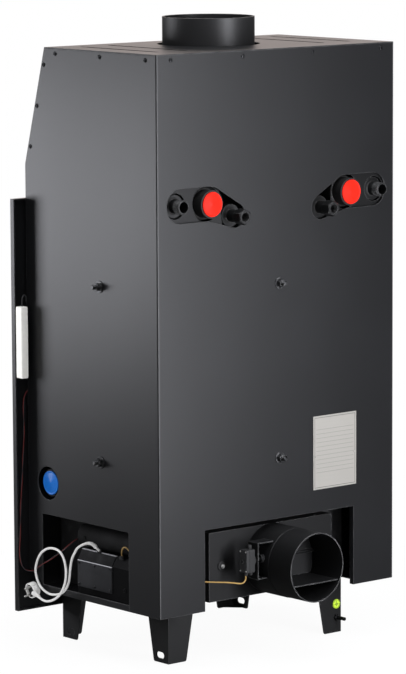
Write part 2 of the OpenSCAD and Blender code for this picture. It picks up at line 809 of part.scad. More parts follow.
module flue_collar() {
    wall = 4;
    color("#2a2a2b") difference() {
        union() {
            bar_z(flue_r - 1, 0, flue_d, [boiler_top_h, casing_h + flue_rise]);
            bar_z(flue_r, 0, flue_d, [casing_h - flue_seat_in, casing_h + flue_rise]);
        }
        bar_z(flue_r - wall, 0, flue_d, [boiler_top_h - 1, casing_h + flue_rise + 1]);
    }
}

// Cooling coil in the rear water space: straight runs joined by half-circle bends, with a riser
// from the first and the last run up to the fittings
coil_r = 9;
coil_runs = 5;
coil_drop = 46;
coil_run_x = coil_x - coil_drop / 2 - 2 * coil_r - 4;
function run_h(i) = coil_h - 60 - i * coil_drop;
module coil_riser(side, i) {
    mid_d = rear_gap + shell_t + water_gap / 2;
    bar_y(coil_r, side * coil_x, [rear_gap + shell_t, mid_d], coil_h);
    bar_z(coil_r, side * coil_x, mid_d, [run_h(i), coil_h]);
    bar_x(coil_r, side > 0 ? [0, coil_x] : [-coil_x, 0], mid_d, run_h(i));
    for (h = [coil_h, run_h(i)]) translate([side * coil_x, y_at(mid_d), z_at(h)]) sphere(coil_r);
}
module cooling_coil() {
    mid_d = rear_gap + shell_t + water_gap / 2;
    color("#9a5f3a") {
        for (i = [0 : coil_runs - 1]) bar_x(coil_r, [-coil_run_x, coil_run_x], mid_d, run_h(i));
        for (i = [0 : coil_runs - 2]) {
            side = i % 2 == 0 ? 1 : -1;
            translate([side * coil_run_x, y_at(mid_d), z_at(run_h(i + 0.5))]) rotate([90, side * 90, 0])
                rotate_extrude(angle = 180) translate([coil_drop / 2, 0]) circle(coil_r);
        }
        coil_riser(-1, 0);
        coil_riser(1, coil_runs - 1);
    }
}

// Water fittings

module tube_y(r, bore, x, d, h) {
    difference() {
        bar_y(r, x, d, h);
        bar_y(bore, x, [d[0] - 1, d[1] + 1], h);
    }
}
module supply_sockets() {
    color("#232426") for (s = [-1, 1]) {
        tube_y(socket_r, socket_bore_r, s * socket_x, [-socket_out, rear_gap], supply_h);
        tube_y(socket_r + 4, socket_r - 1, s * socket_x, [boss_d + 5, boss_d + 12], supply_h);
    }
}
module return_sockets() {
    color("#232426") both_sides() difference() {
        bar_x(socket_r, [boiler_x, side_x - return_inset], return_d, return_h);
        bar_x(socket_bore_r, [boiler_x - 1, side_x], return_d, return_h);
    }
}
module nipples() {
    thread_end = nipple_thread_l - nipple_out;
    inner_r = nipple_bore_r - 1;
    color("#222325") both_sides() {
        tube_y(nipple_r, nipple_bore_r, nipple_x, [-nipple_out, thread_end], supply_h);
        tube_y(nipple_r, inner_r, nipple_x, [thread_end, elbow_d], supply_h);
        tube_y(boss_r, nipple_r - 1, nipple_x, [boss_d, boss_d + 14], supply_h);
        translate([boiler_x, y_at(elbow_d), z_at(supply_h)]) rotate([0, 0, -90])
            rotate_extrude(angle = 90) translate([elbow_r, 0]) difference() {
                circle(nipple_r);
                circle(inner_r);
            }
    }
}
module coil_fittings() {
    color("#242527") for (s = [-1, 1]) difference() {
        union() {
            bar_y(coil_bore_r + 4, s * coil_x, [6 - coil_out, rear_gap], coil_h);
            bar_y(boss_r, s * coil_x, [boss_d, boss_d + 16], coil_h);
            translate([s * coil_x, y_at(-coil_out), z_at(coil_h)]) rotate([90, 30, 0])
                cylinder(d = coil_hex / cos(30), h = coil_thread_l, $fn = 6);
        }
        bar_y(coil_bore_r, s * coil_x, [-coil_out - 1, coil_thread_l - coil_out], coil_h);
        bar_y(coil_bore_r - 1, s * coil_x, [-coil_out, rear_gap + 1], coil_h);
    }
}
module red_caps() {
    color("#f03426") for (s = [-1, 1]) {
        bar_y(cap_r, s * socket_x, [-socket_out - cap_t, -socket_out], supply_h);
        bar_y(cap_stem_r, s * socket_x, [-socket_out - 1, cap_stem_l - socket_out], supply_h);
    }
}
module blue_caps() {
    face = side_x - return_inset;
    color("#1b6fc4") both_sides() {
        bar_x(cap_r, [face, face + cap_t], return_d, return_h);
        bar_x(cap_stem_r, [face - cap_stem_l, face + 1], return_d, return_h);
    }
}

// Firebox

floor_top_h = hearth_h + hearth_t;
grate_mid_d = (fire_d + casing_d) / 2;
module firebox_lining() {
    h = [floor_top_h, floor_top_h + lining_h];
    color("#b7a98c") {
        slab([lining_t - fire_x, fire_x - lining_t], [fire_d, fire_d + lining_t], h);
        both_sides() slab([fire_x - lining_t, fire_x], [fire_d, shell_end_d - 20], h);
    }
}
module hearth_floor() {
    gx = grate_w / 2 + 1;
    gd = grate_d / 2 + 1;
    seat = 8;
    color("#a89a80") difference() {
        slab([-fire_x, fire_x], [fire_d, shell_end_d], [hearth_h, floor_top_h]);
        slab([-gx, gx], [grate_mid_d - gd, grate_mid_d + gd], [floor_top_h - grate_t, floor_top_h + 1]);
        slab([seat - gx, gx - seat], [grate_mid_d - gd + seat, grate_mid_d + gd - seat],
            [hearth_h - 1, floor_top_h]);
    }
}
module grate() {
    rim = 10;
    gap = (grate_w - 2 * rim) / grate_bars;
    color("#2b2b2c") difference() {
        slab([-grate_w / 2, grate_w / 2], around(grate_mid_d, grate_d),
            [floor_top_h - grate_t, floor_top_h]);
        for (i = [0 : grate_bars - 1])
            slab(around(rim - grate_w / 2 + (i + 0.5) * gap, gap / 2), around(grate_mid_d, grate_d - 2 * rim),
                [hearth_h, floor_top_h + 1]);
    }
}
module log_guard() {
    half = fire_x - lining_t - 2;
    color("#2b2b2c") {
        slab([-half, half], [casing_d - 34, casing_d - 26], [floor_top_h, floor_top_h + 46]);
        both_sides() slab([half - 20, half], [casing_d - 60, casing_d - 26],
            [floor_top_h, floor_top_h + 8]);
    }
}
module baffle() {
    color("#b7a98c") slab([1 - fire_x, fire_x - 1], [fire_d, casing_d - 90], [baffle_h, baffle_h + baffle_t]);
}

// Front

front_x = front_w / 2;
module front_plate() {
    sheet_d = plate_d - front_t;
    collar = 14;
    opening_hs = [drawer_low_h - 2, drawer_high_h + 3];
    rail_hs = [slider_mid_h - slider_h / 2, slider_mid_h + slider_h / 2];
    color("#303235") {
        difference() {
            slab([-front_x, front_x], [front_d, plate_d], [front_low_h, front_high_h]);
            slab([front_t - front_x, front_x - front_t], [front_d - 1, sheet_d],
                [front_low_h + front_t, front_high_h - front_t]);
            slab([-mouth_x, mouth_x], [sheet_d - 1, plate_d + 1], [mouth_low_h, mouth_high_h]);
            slab([-front_opening_x, front_opening_x], [sheet_d - 1, plate_d + 1], opening_hs);
            for (i = [0 : slot_count - 1])
                slab(around((i - (slot_count - 1) / 2) * slot_pitch, slot_w),
                    [sheet_d - 1, plate_d + 1], around(slider_mid_h, slot_tall));
        }
        rear_sheet([boiler_face_d, sheet_d + overlap]) difference() {
            rect([-mouth_x - collar, mouth_x + collar], [drawer_low_h - 2 - base_t, mouth_high_h + collar]);
            rect([-mouth_x, mouth_x], [mouth_low_h, mouth_high_h]);
            rect([-front_opening_x, front_opening_x], opening_hs);
        }
        for (up = [-1, 1]) {
            slab(around(0, slider_w + 48), [plate_d - overlap, plate_d + slider_t + 0.3],
                around(slider_mid_h + up * (slider_h / 2 + 3.2), 6));
            slab(around(0, slider_w + 48), [plate_d + slider_t + 0.2, plate_d + slider_t + 2.2],
                around(slider_mid_h + up * (slider_h / 2 + 1.2), 10));
        }
    }
}
module keeper() {
    x = [door_x + keeper_gap, door_x + keeper_gap + keeper_w];
    lip_d = door_d + finger_t + 2.5;
    slab([x[1] - 7, x[1]], [plate_d, lip_d + 4], span(handle_h, -9, 24));
    slab(x, [plate_d, lip_d + 4], span(handle_h, 12, 24));
    slab(x, [lip_d, lip_d + 4], span(handle_h, -9, 24));
}

// Hinges and latch keeper. Each hinge is a plate on the front with a lower barrel and a pin for the
// door's knuckle.
knuckle_r = 9;
module door_brackets() {
    color("#3a3c3e") keeper();
    color("#3a3c3e") for (h = hinge_hs) {
        slab([hinge_x - 18, hinge_x + 8], [plate_d, plate_d + 3], [h - 8, h + hinge_l + 6]);
        slab([hinge_x - knuckle_r, hinge_x], [plate_d + 2, hinge_d], [h, h + hinge_l / 2]);
        bar_z(knuckle_r, hinge_x, hinge_d, [h, h + hinge_l / 2]);
        bar_z(pin_r, hinge_x, hinge_d, [h, h + hinge_l + 1]);
    }
}

module door_frame() {
    lip_d = door_d + 10;
    pocket_x = handle_x - 13;
    color("#2a2b2d") {
        difference() {
            slab([-door_x, door_x], [door_d, door_d + door_t], [door_low_h, door_high_h]);
            slab([-mouth_x, mouth_x], [door_d - 1, door_d + door_t + 1],
                [mouth_low_h + mouth_margin, mouth_high_h - mouth_margin]);
            slab([-rebate_x, rebate_x], [door_d - 1, lip_d],
                [mouth_low_h + mouth_margin - glass_lip, mouth_high_h - mouth_margin + glass_lip]);
            seal_ring([door_d - 1, door_d + 4]);
            slab([pocket_x, door_x + 1], [door_d - 1, door_d + finger_t + 2], span(handle_h, -42, 14));
            bar_y(spindle_r + 0.1, handle_x, [door_d, door_d + door_t + 1], handle_h);
        }
        for (h = hinge_hs) difference() {
            union() {
                bar_z(knuckle_r, hinge_x, hinge_d, [h + hinge_l / 2 + 0.3, h + hinge_l]);
                slab([hinge_x, overlap - door_x], around(hinge_d, 10), [h + hinge_l / 2 + 0.3, h + hinge_l]);
            }
            bar_z(pin_r + pin_clearance, hinge_x, hinge_d, [h, h + hinge_l + 2]);
        }
    }
}
module seal_ring(d) {
    x = rebate_x + 3;
    h = [mouth_low_h + mouth_margin - glass_lip - 3, mouth_high_h - mouth_margin + glass_lip + 3];
    rear_sheet(d) difference() {
        rect([-x - seal_w, x + seal_w], [h[0] - seal_w, h[1] + seal_w]);
        rect([-x, x], h);
    }
}
module door_seal() {
    color("#6f6c66") seal_ring([plate_d + 0.3, door_d + 4]);
}
glass_hs = [mouth_low_h + mouth_margin - glass_lip + 1, mouth_high_h - mouth_margin + glass_lip - 1];
glass_d = door_d + 10 - glass_t;
module door_glass() {
    color("#4a4038", 0.6) slab([1 - rebate_x, rebate_x - 1], [glass_d, door_d + 10], glass_hs);
}
module glass_clips() {
    top = glass_hs[1] + 1;
    low = glass_hs[0] - 1;
    color("#7d8083") for (x = [-0.6, 0, 0.6] * mouth_x) {
        slab(around(x, 30), [glass_d - 3, glass_d], [top - 12, top]);
        slab(around(x, 30), [glass_d - 3, glass_d], [low, low + 12]);
    }
}

// Drawn released, with the finger turned down out of the keeper
module door_handle() {
    face_d = door_d + door_t;
    color("#303234") translate([handle_x, 0, z_at(handle_h)]) {
        bar_at(spindle_r, [door_d + 1, face_d + 8]);
        bar_at(9, [door_d + 1, door_d + 1 + finger_t]);
        bar_at(hub_r, [face_d + 0.5, face_d + 10]);
        rotate([0, handle_turn, 0]) {
            translate([0, y_at(door_d + 1 + finger_t), -finger_w / 2]) cube([finger_l, finger_t, finger_w]);
            translate([-6, y_at(face_d + 9), -46]) cube([12, 8, 46]);
            translate([0, y_at(face_d + 16), -32]) mirror([0, 0, 1]) cylinder(r = 5, h = grip_l + 16);
            translate([-6, y_at(face_d + 16), -46]) cube([12, 8, 14]);
        }
    }
}
module bar_at(r, d) {
    translate([0, y_at(d[0]), 0]) rotate([90, 0, 0]) cylinder(r = r, h = d[1] - d[0]);
}
module handle_grip() {
    grip_r = 12;
    color("#8a5a34") translate([handle_x, 0, z_at(handle_h)]) rotate([0, handle_turn, 0])
        translate([0, y_at(door_d + door_t + 16), -46]) mirror([0, 0, 1]) difference() {
            cylinder(r = grip_r, h = grip_l);
            translate([0, 0, -1]) cylinder(r = 5, h = grip_l + 2);
        }
}

module air_slider() {
    color("#3c3e40") {
        difference() {
            slab(around(0, slider_w), [plate_d, plate_d + slider_t], around(slider_mid_h, slider_h));
            for (i = [0 : slot_count - 1])
                slab(around((i - (slot_count - 1) / 2) * slot_pitch, slot_w),
                    [plate_d - 1, plate_d + slider_t + 1], around(slider_mid_h, slot_tall));
        }
        bar_y(6, 0.5 * slider_w - 8, [plate_d + slider_t - overlap, plate_d + slider_t + 18], slider_mid_h);
    }
}

module ash_drawer() {
    d = [plate_d - drawer_l, plate_d];
    h = [drawer_low_h, drawer_high_h];
    color("#3a3b3c") {
        difference() {
            slab([-drawer_x, drawer_x], d, h);
            slab([drawer_t - drawer_x, drawer_x - drawer_t], [d[0] + drawer_t, d[1] - drawer_t],
                [h[0] + drawer_t, h[1] + 1]);
        }
        slab([-drawer_x - 12, drawer_x + 12], [plate_d, plate_d + drawer_face_t],
            [drawer_low_h - 6, drawer_high_h + 7]);
        both_sides() bar_y(5, 50, [plate_d + drawer_face_t - overlap, plate_d + drawer_face_t + 22],
            (h[0] + h[1]) / 2);
        bar_x(6, [-62, 62], plate_d + drawer_face_t + 24, (h[0] + h[1]) / 2);
    }
}

// Rear air

module air_box() {
    x = air_box_w / 2;
    h = [air_box_low_h, air_box_low_h + air_box_h];
    color("#2a2b2d") difference() {
        slab([-x, x], [air_box_d, rear_gap], h);
        slab([sheet_t - x, x - sheet_t], [air_box_d + sheet_t, rear_gap + 1],
            [h[0] + sheet_t, h[1] - sheet_t]);
        bar_y(duct_bore_r, 0, [air_box_d - 1, air_box_d + 5], duct_h);
    }
}
boss_end = duct_r + 5;
duct_seat_l = 72;
duct_body_r = duct_r + 1;
module intake_duct() {
    color("#2e3032") difference() {
        union() {
            bar_y(duct_r, 0, [-duct_out, duct_seat_l - duct_out], duct_h);
            bar_y(duct_body_r, 0, [duct_seat_l - duct_out, air_box_d], duct_h);
            bar_x(9, [-boss_end, boss_end], -shaft_out, shaft_h);
        }
        bar_y(duct_bore_r, 0, [-duct_out - 1, air_box_d + 1], duct_h);
        bar_x(shaft_r + pin_clearance, [-boss_end - 1, boss_end + 1], -shaft_out, shaft_h);
    }
}
module duct_partition() {
    h = duct_h - partition_drop;
    color("#303234") intersection() {
        slab([-duct_r, duct_r], [6 - duct_out, air_box_d], [h - 2, h]);
        bar_y(duct_bore_r, 0, [-duct_out, air_box_d], duct_h);
    }
}
module damper_blade() {
    color("#3a3c3e") {
        intersection() {
            slab([shaft_rise / 8 - duct_bore_r + 1.5, duct_bore_r - shaft_rise / 8 - 1.5],
                around(-shaft_out, blade_t), [duct_h - partition_drop + blade_gap, duct_h + duct_r]);
            bar_y(duct_bore_r - blade_gap, 0, around(-shaft_out, 10), duct_h);
        }
        bar_x(shaft_r, [-boss_end, actuator_x[1] + 3], -shaft_out, shaft_h);
    }
}

// Bracket clasped to the duct, open towards it
module actuator_bracket() {
    low_h = duct_h - 25;
    high_h = duct_h + 54;
    d = around(-shaft_out, bracket_w);
    color("#2c2e30") difference() {
        union() {
            slab([bracket_x - bracket_t, bracket_x], d, [low_h, high_h]);
            slab([0, bracket_x], d, [low_h, low_h + bracket_t]);
            slab([0, bracket_x], d, [high_h - bracket_t, high_h]);
        }
        bar_y(duct_body_r, 0, [-duct_out, air_box_d], duct_h);
        bar_x(shaft_r + 1, [0, bracket_x + 1], -shaft_out, shaft_h);
        bar_x(9, [0, boss_end], -shaft_out, shaft_h);
    }
}
module actuator() {
    mid = (actuator_x[0] + actuator_x[1]) / 2;
    d = around(-shaft_out, actuator_w);
    h = around(shaft_h, actuator_h);
    color("#1d1e20") difference() {
        union() {
            slab(actuator_x, d, h);
            bar_x(11, [bracket_x, actuator_x[0] + overlap], -shaft_out, shaft_h);
            bar_z(5, actuator_x[0] + 6, -shaft_out, [h[1] - overlap, h[1] + 9]);
            for (x = [mid - 6.5, mid + 6.5]) bar_z(4, x, -shaft_out - 3, [h[0] - 6, h[0] + overlap]);
        }
        bar_x(shaft_r + 0.6, [bracket_x - 1, actuator_x[1] + 1], -shaft_out, shaft_h);
    }
}
module damper_cable() {
    color("#b08a3c") cord(damper_route, damper_cable_r, 2, 8);
}

// Service bay

module control_body() {
    translate([0, y_at(control_d), leg_h]) rotate([90, 0, 0]) linear_extrude(control_l)
        polygon([[bay_x, bay_floor_t], [control_x, bay_floor_t], [control_x, control_face_h],
            [control_x - ledge, control_h], [bay_x, control_h]]);
}
module control_box() {
    end_d = control_d + control_l;
    color("#232527") {
        control_body();
        slab([control_x - overlap, control_x + 1.5], [end_d - 117, end_d], [24, control_face_h]);
        bar_x(4, [control_x - overlap, control_x + 2], control_d + 32, 38);
    }
}
// Glands where the cords leave the control box and reach the boiler wall. The one of the mains cord
// leans outwards.
module cable_glands() {
    mains_out = unit(mains_route[1] - mains_route[0]);
    color("#3f4143") {
        difference() {
            union() {
                leaning_gland(mains_route[0], mains_out);
                bar_z(gland_r, side_x - damper_route[0].x, damper_route[0].y,
                    [control_h - 2, damper_route[0].z]);
            }
            control_body();
        }
        for (q = [sensor_route[0], sensor_route[len(sensor_route) - 1], display_route[len(display_route) - 1]])
            bar_x(gland_r, [boiler_x, side_x - q.x], q.y, q.z);
    }
}
module leaning_gland(q, out) {
    translate([side_x - q.x, y_at(q.y), z_at(q.z)])
        rotate([0, acos(-out.z), atan2(out.y, out.x)]) cylinder(r = gland_r, h = 18);
}
module drain_header() {
    color("#2b2d2f") {
        bar_y(header_r, header_x, [header_d, header_d + header_l], header_h);
        bar_x(3, [header_x, header_x + header_r + 2], header_d + header_l - 25, header_h);
    }
}
module mains_cord() {
    color("#f2f2f0") cord(mains_route, mains_r, 2, 8);
}
module mains_plug() {
    end = mains_route[len(mains_route) - 1];
    face = 1.6;
    color("#f2f2f0") translate([side_x - end.x, y_at(end.y), z_at(end.z)]) rotate([75, 0, 0]) {
        cylinder(r = 5.5, h = 6);
        translate([0, 0, plug_r]) rotate([0, 0, -plug_turn]) rotate([0, 90, 0]) {
            translate([0, 0, face - plug_t]) cylinder(r = plug_r, h = plug_t);
            for (y = [-9.5, 9.5]) translate([0, y, face - overlap]) cylinder(r = 2.4, h = 15.7);
        }
    }
}
// Display housing behind the front plate's edge
module display_housing() {
    color("#e4e4e2") slab(display_x, [casing_d - 20, front_d], [display_low_h, display_low_h + display_h]);
}
module display_wire() {
    color("#2a2a2a") cord(display_route, display_wire_r, 2, 8);
}
module sensor_cable() {
    color("#a24a48") cord(sensor_route, sensor_r, 2, 8);
}

side_panel_right();
side_panel_left();
back_panel();
top_cover();
hood_front();
panel_screws();
spacer_bolts();
rating_plate();
base_plate();
bay_trays();
rear_legs();
front_legs();
leg_bolts();
earth_bolt();
earth_disc();
jacket_outer();
jacket_inner();
tube_plates();
flame_tubes();
smoke_box();
boiler_front();
flue_collar();
cooling_coil();
supply_sockets();
return_sockets();
nipples();
coil_fittings();
red_caps();
blue_caps();
firebox_lining();
hearth_floor();
grate();
log_guard();
baffle();
front_plate();
door_brackets();
door_frame();
door_glass();
glass_clips();
door_seal();
door_handle();
handle_grip();
air_slider();
ash_drawer();
air_box();
intake_duct();
duct_partition();
damper_blade();
actuator_bracket();
actuator();
damper_cable();
control_box();
cable_glands();
drain_header();
mains_cord();
mains_plug();
display_housing();
display_wire();
sensor_cable();
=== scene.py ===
from math import atan2, copysign, cos, pi, radians, sin

import bmesh
import bpy
from mathutils import Matrix, Vector
from mathutils.geometry import tessellate_polygon


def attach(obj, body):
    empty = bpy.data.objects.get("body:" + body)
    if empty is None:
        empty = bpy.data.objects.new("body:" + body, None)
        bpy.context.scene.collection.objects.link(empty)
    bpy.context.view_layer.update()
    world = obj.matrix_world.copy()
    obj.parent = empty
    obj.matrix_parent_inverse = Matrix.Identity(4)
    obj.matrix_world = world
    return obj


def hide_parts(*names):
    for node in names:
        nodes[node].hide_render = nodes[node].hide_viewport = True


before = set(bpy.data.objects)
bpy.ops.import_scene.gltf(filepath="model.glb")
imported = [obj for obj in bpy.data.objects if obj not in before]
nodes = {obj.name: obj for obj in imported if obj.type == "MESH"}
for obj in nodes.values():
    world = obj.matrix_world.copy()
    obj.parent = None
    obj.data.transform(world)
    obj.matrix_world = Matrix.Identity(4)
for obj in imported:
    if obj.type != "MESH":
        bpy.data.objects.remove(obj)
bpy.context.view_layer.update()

# Camera of the photograph: a long lens behind the insert on its service side, slightly above it.
# Its place was fitted to the corners of the casing.
picture_width, picture_height = 406, 674
focal_length, middle_x, middle_y = 3695.7, 202.61, 334.52
camera_place = (5.1537, 6.0696, 1.785)
turn, tilt, roll = radians(40.087), radians(7.936), radians(-0.29)
ahead = Vector((-sin(turn) * cos(tilt), -cos(turn) * cos(tilt), -sin(tilt)))
across = Vector((-cos(turn), sin(turn), 0))
upward = across.cross(ahead)
lens = bpy.data.cameras.new("photo_camera")
lens.lens = focal_length * lens.sensor_width / picture_height
lens.shift_x = (picture_width / 2 - middle_x) / picture_height
lens.shift_y = (middle_y - picture_height / 2) / picture_height
lens.clip_end = 200


def put(name, data):
    """Stands a new object in the scene."""
    made = bpy.data.objects.new(name, data)
    bpy.context.scene.collection.objects.link(made)
    return made


camera = put("photo_camera", lens)
camera.matrix_world = Matrix.Translation(camera_place) @ Matrix((
    across * cos(roll) + upward * sin(roll), upward * cos(roll) - across * sin(roll), -ahead
)).transposed().to_4x4()
bpy.context.scene.camera = camera
bpy.context.scene.view_settings.view_transform = "Standard"

# Studio: a pale floor that runs into a white backdrop, and three soft boxes. The floor keeps the
# insert's shadow close to it and turns plain white further out. Glossy rays see a dim room with one
# bright stretch of backdrop behind the insert, which gives the top cover its sheen.
def sign(operation):
    """A method that joins a value and another term in a Math node."""
    return lambda value, other: value.maths(operation, value, other)


class Value:
    """A shader socket that stands in Python sums; each sign adds its Math node."""

    __add__ = __radd__ = sign("ADD")
    __sub__ = sign("SUBTRACT")
    __mul__ = __rmul__ = sign("MULTIPLY")
    __pow__ = sign("POWER")
    __mod__ = sign("FLOORED_MODULO")
    least = sign("MINIMUM")
    most = sign("MAXIMUM")

    def __init__(self, tree, socket):
        self.tree, self.socket = tree, socket

    def maths(self, operation, *terms):
        return self.tree.node("Math", {"operation": operation}, dict(enumerate(terms)))

    def __rsub__(self, other):
        return self.maths("SUBTRACT", other, self)

    def __abs__(self):
        return self.maths("ABSOLUTE", self)

    def step(self, low, high, to_low=0.0, to_high=1.0):
        """Rises softly from to_low to to_high while this value goes from low to high."""
        return self.tree.node("MapRange", {"interpolation_type": "SMOOTHSTEP"}, {
            "Value": self, "From Min": low, "From Max": high, "To Min": to_low, "To Max": to_high})

    def between(self, low, high):
        """Lets a noise drift softly between low and high."""
        return self.step(0.3, 0.7, low, high)


class Tree:
    """A node tree, built one node at a time."""

    def __init__(self, tree):
        self.tree = tree

    def node(self, kind, settings=None, values=None, out=0):
        node = self.tree.nodes.new(kind if "Node" in kind else "ShaderNode" + kind)
        for setting, value in (settings or {}).items():
            setattr(node, setting, value)
        for socket, value in (values or {}).items():
            self.feed(node.inputs[socket], value)
        return Value(self, node.outputs[out])

    def feed(self, socket, value):
        if isinstance(value, Value):
            self.tree.links.new(value.socket, socket)
        elif socket.type == "RGBA" and len(value) == 3:
            socket.default_value = (*value, 1)
        else:
            socket.default_value = value

    def ray(self, kind):
        """Whether it is this kind of ray that arrives."""
        return self.node("LightPath", out=f"Is {kind} Ray")

    def mix(self, part, one, other):
        return self.node("Mix", {"data_type": "RGBA"}, {0: part, 6: one, 7: other}, out=2)


class Look(Tree):
    """A procedural finish: a Principled shader whose fixed sockets are set at the start and whose
    changing ones are fed by done()."""

    def __init__(self, name, **fixed):
        self.material = bpy.data.materials.new(name)
        self.material.use_nodes = True
        super().__init__(self.material.node_tree)
        self.shader = self.tree.nodes["Principled BSDF"]
        for socket, value in fixed.items():
            self.shader.inputs[socket.replace("_", " ")].default_value = value
        self.coating = Value(self, self.shader.outputs[0])
        self.place = self.node("TexCoord", out="Object")
        self.x, self.y, self.z = (self.node("SeparateXYZ", {}, {0: self.place}, out=i) for i in range(3))

    def noise(self, scale, detail=2.0, stretch=(1, 1, 1), rough=0.5):
        spot = self.node("VectorMath", {"operation": "MULTIPLY"}, {0: self.place, 1: stretch})
        values = {"Vector": spot, "Scale": scale, "Detail": detail, "Roughness": rough}
        return self.node("TexNoise", {}, values)

    def done(self, height=None, relief=0.0, edge=0.0, tone=None, gloss=None):
        """Feeds what changes over the surface and gives its material."""
        for socket, value in (("Base Color", tone), ("Roughness", gloss)):
            if value:
                self.feed(self.shader.inputs[socket], value)
        normal = self.node("Bevel", {"samples": 4}, {"Radius": edge}) if edge else None
        if height:
            values = {"Height": height, "Distance": relief}
            if normal:
                values["Normal"] = normal
            normal = self.node("Bump", {}, values)
        if normal:
            self.feed(self.shader.inputs["Normal"], normal)
        return self.material

    def show(self, part, one, other):
        """Gives the surface a mix of two shaders."""
        self.feed(self.tree.nodes["Material Output"].inputs["Surface"],
                  self.node("MixShader", {}, {0: part, 1: one, 2: other}))


floor_look = Look("studio_floor", Base_Color=(0.88, 0.88, 0.88, 1), Roughness=0.8)
floor_look.done(gloss=floor_look.noise(30).between(0.75, 0.9))
reach = floor_look.node("VectorMath", {"operation": "LENGTH"}, {0: floor_look.place}, out="Value")
shown = floor_look.ray("Camera").most(floor_look.ray("Transmission"))
white = floor_look.node("Emission", {}, {"Color": (1, 1, 1), "Strength": 1.0})
dim = floor_look.node("Emission", {}, {"Color": (1, 1, 1), "Strength": 0.07})
shadow_end, plain_start = 1.1, 0.3
plain = floor_look.node("MixShader", {}, {
    0: shown * reach.step(plain_start, shadow_end, 0.95, 1), 1: floor_look.coating, 2: white})
floor_look.show(floor_look.ray("Glossy"), plain, dim)
floor_shape = bmesh.new()
half_floor = 9
bmesh.ops.create_grid(floor_shape, x_segments=4, y_segments=4, size=half_floor)
floor_mesh = bpy.data.meshes.new("studio_floor")
floor_shape.to_mesh(floor_mesh)
floor_shape.free()
floor_mesh.materials.append(floor_look.material)
put("studio_floor", floor_mesh)

sky = bpy.data.worlds.new("studio_sky")
bpy.context.scene.world = sky
sky.use_nodes = True
room_glow, backdrop_glow, light_glow = 0.06, 1.6, 0.5
backdrop_way = (-0.634, -0.754, 0.17)
air = Tree(sky.node_tree)
way = air.node("TexCoord", out="Generated")
sheen = air.node("VectorMath", {"operation": "DOT_PRODUCT"}, {0: way, 1: backdrop_way}, out="Value")
seen = air.ray("Camera").most(air.ray("Transmission"))
mirrored = air.ray("Glossy") * (1 - seen)
background = air.tree.nodes["Background"].inputs
air.feed(background["Color"], air.mix(mirrored * sheen.step(0.9, 0.985), (1, 1, 1), (1, 0.87, 0.82)))
air.feed(background["Strength"], seen + mirrored * sheen.step(0.9, 0.985, room_glow, backdrop_glow)
         + (1 - seen) * (1 - mirrored) * light_glow)


def soft_box(name, place, aim, width, height, watts):
    """A soft box: a large rectangular lamp that the camera doesn't see."""
    lamp = bpy.data.lights.new(name, "AREA")
    lamp.shape, lamp.size, lamp.size_y, lamp.energy = "RECTANGLE", width, height, watts
    lamp.color = (0.98, 0.99, 1.05)
    box = put(name, lamp)
    box.visible_camera = False
    box.location = place
    box.rotation_euler = (Vector(aim) - Vector(place)).to_track_quat("-Z", "Y").to_euler()


soft_box("soft_box_side", (1.45, -1.85, 0.8), (0.33, 0, 0.9), 0.85, 0.8, 20)
soft_box("soft_box_rear", (-0.22, 1.75, 0.8), (0.1, 0.2, 0.85), 0.45, 1.4, 40)
soft_box("soft_box_top", (0.6, 0.8, 4.2), (0, 0, 0.5), 4.0, 4.0, 150)

# Mains lead: round white PVC cord of 5 mm that leaves the leaning gland on the control box, hangs in
# one loop beside the bay and ends in a round plug with a dark face. The tapered, ribbed relief and
# the plug are turned shapes that go with it.
half_width, half_depth, leg_height = 332, 199, 122
millimetres = Matrix.Scale(0.001, 4)


def carried(made, body, slot, replaced):
    """Lets a piece ride on a body and hides the nodes that it stands for."""
    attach(made, body)
    if replaced:
        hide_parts(*replaced)
    return made


def mounted(name, mesh, body, slot, replaced):
    """Makes a mesh a piece that is smooth but for its folds."""
    mesh.shade_smooth()
    mesh.set_sharp_from_angle(angle=radians(32))
    return carried(put(name, mesh), body, slot, replaced)


def round_turn(count, shift=0.0):
    """Equal angles once round, moved on by shift of a step."""
    return [2 * pi * (k + shift) / count for k in range(count)]


def frames(line):
    """Yields a line's points, each with two ways across the line that turn as little as they can."""
    side = None
    for i, point in enumerate(line):
        along = (line[min(i + 1, len(line) - 1)] - line[max(i - 1, 0)]).normalized()
        side = along.orthogonal() if side is None else side - along * side.dot(along)
        side.normalize()
        yield point, side, along.cross(side)


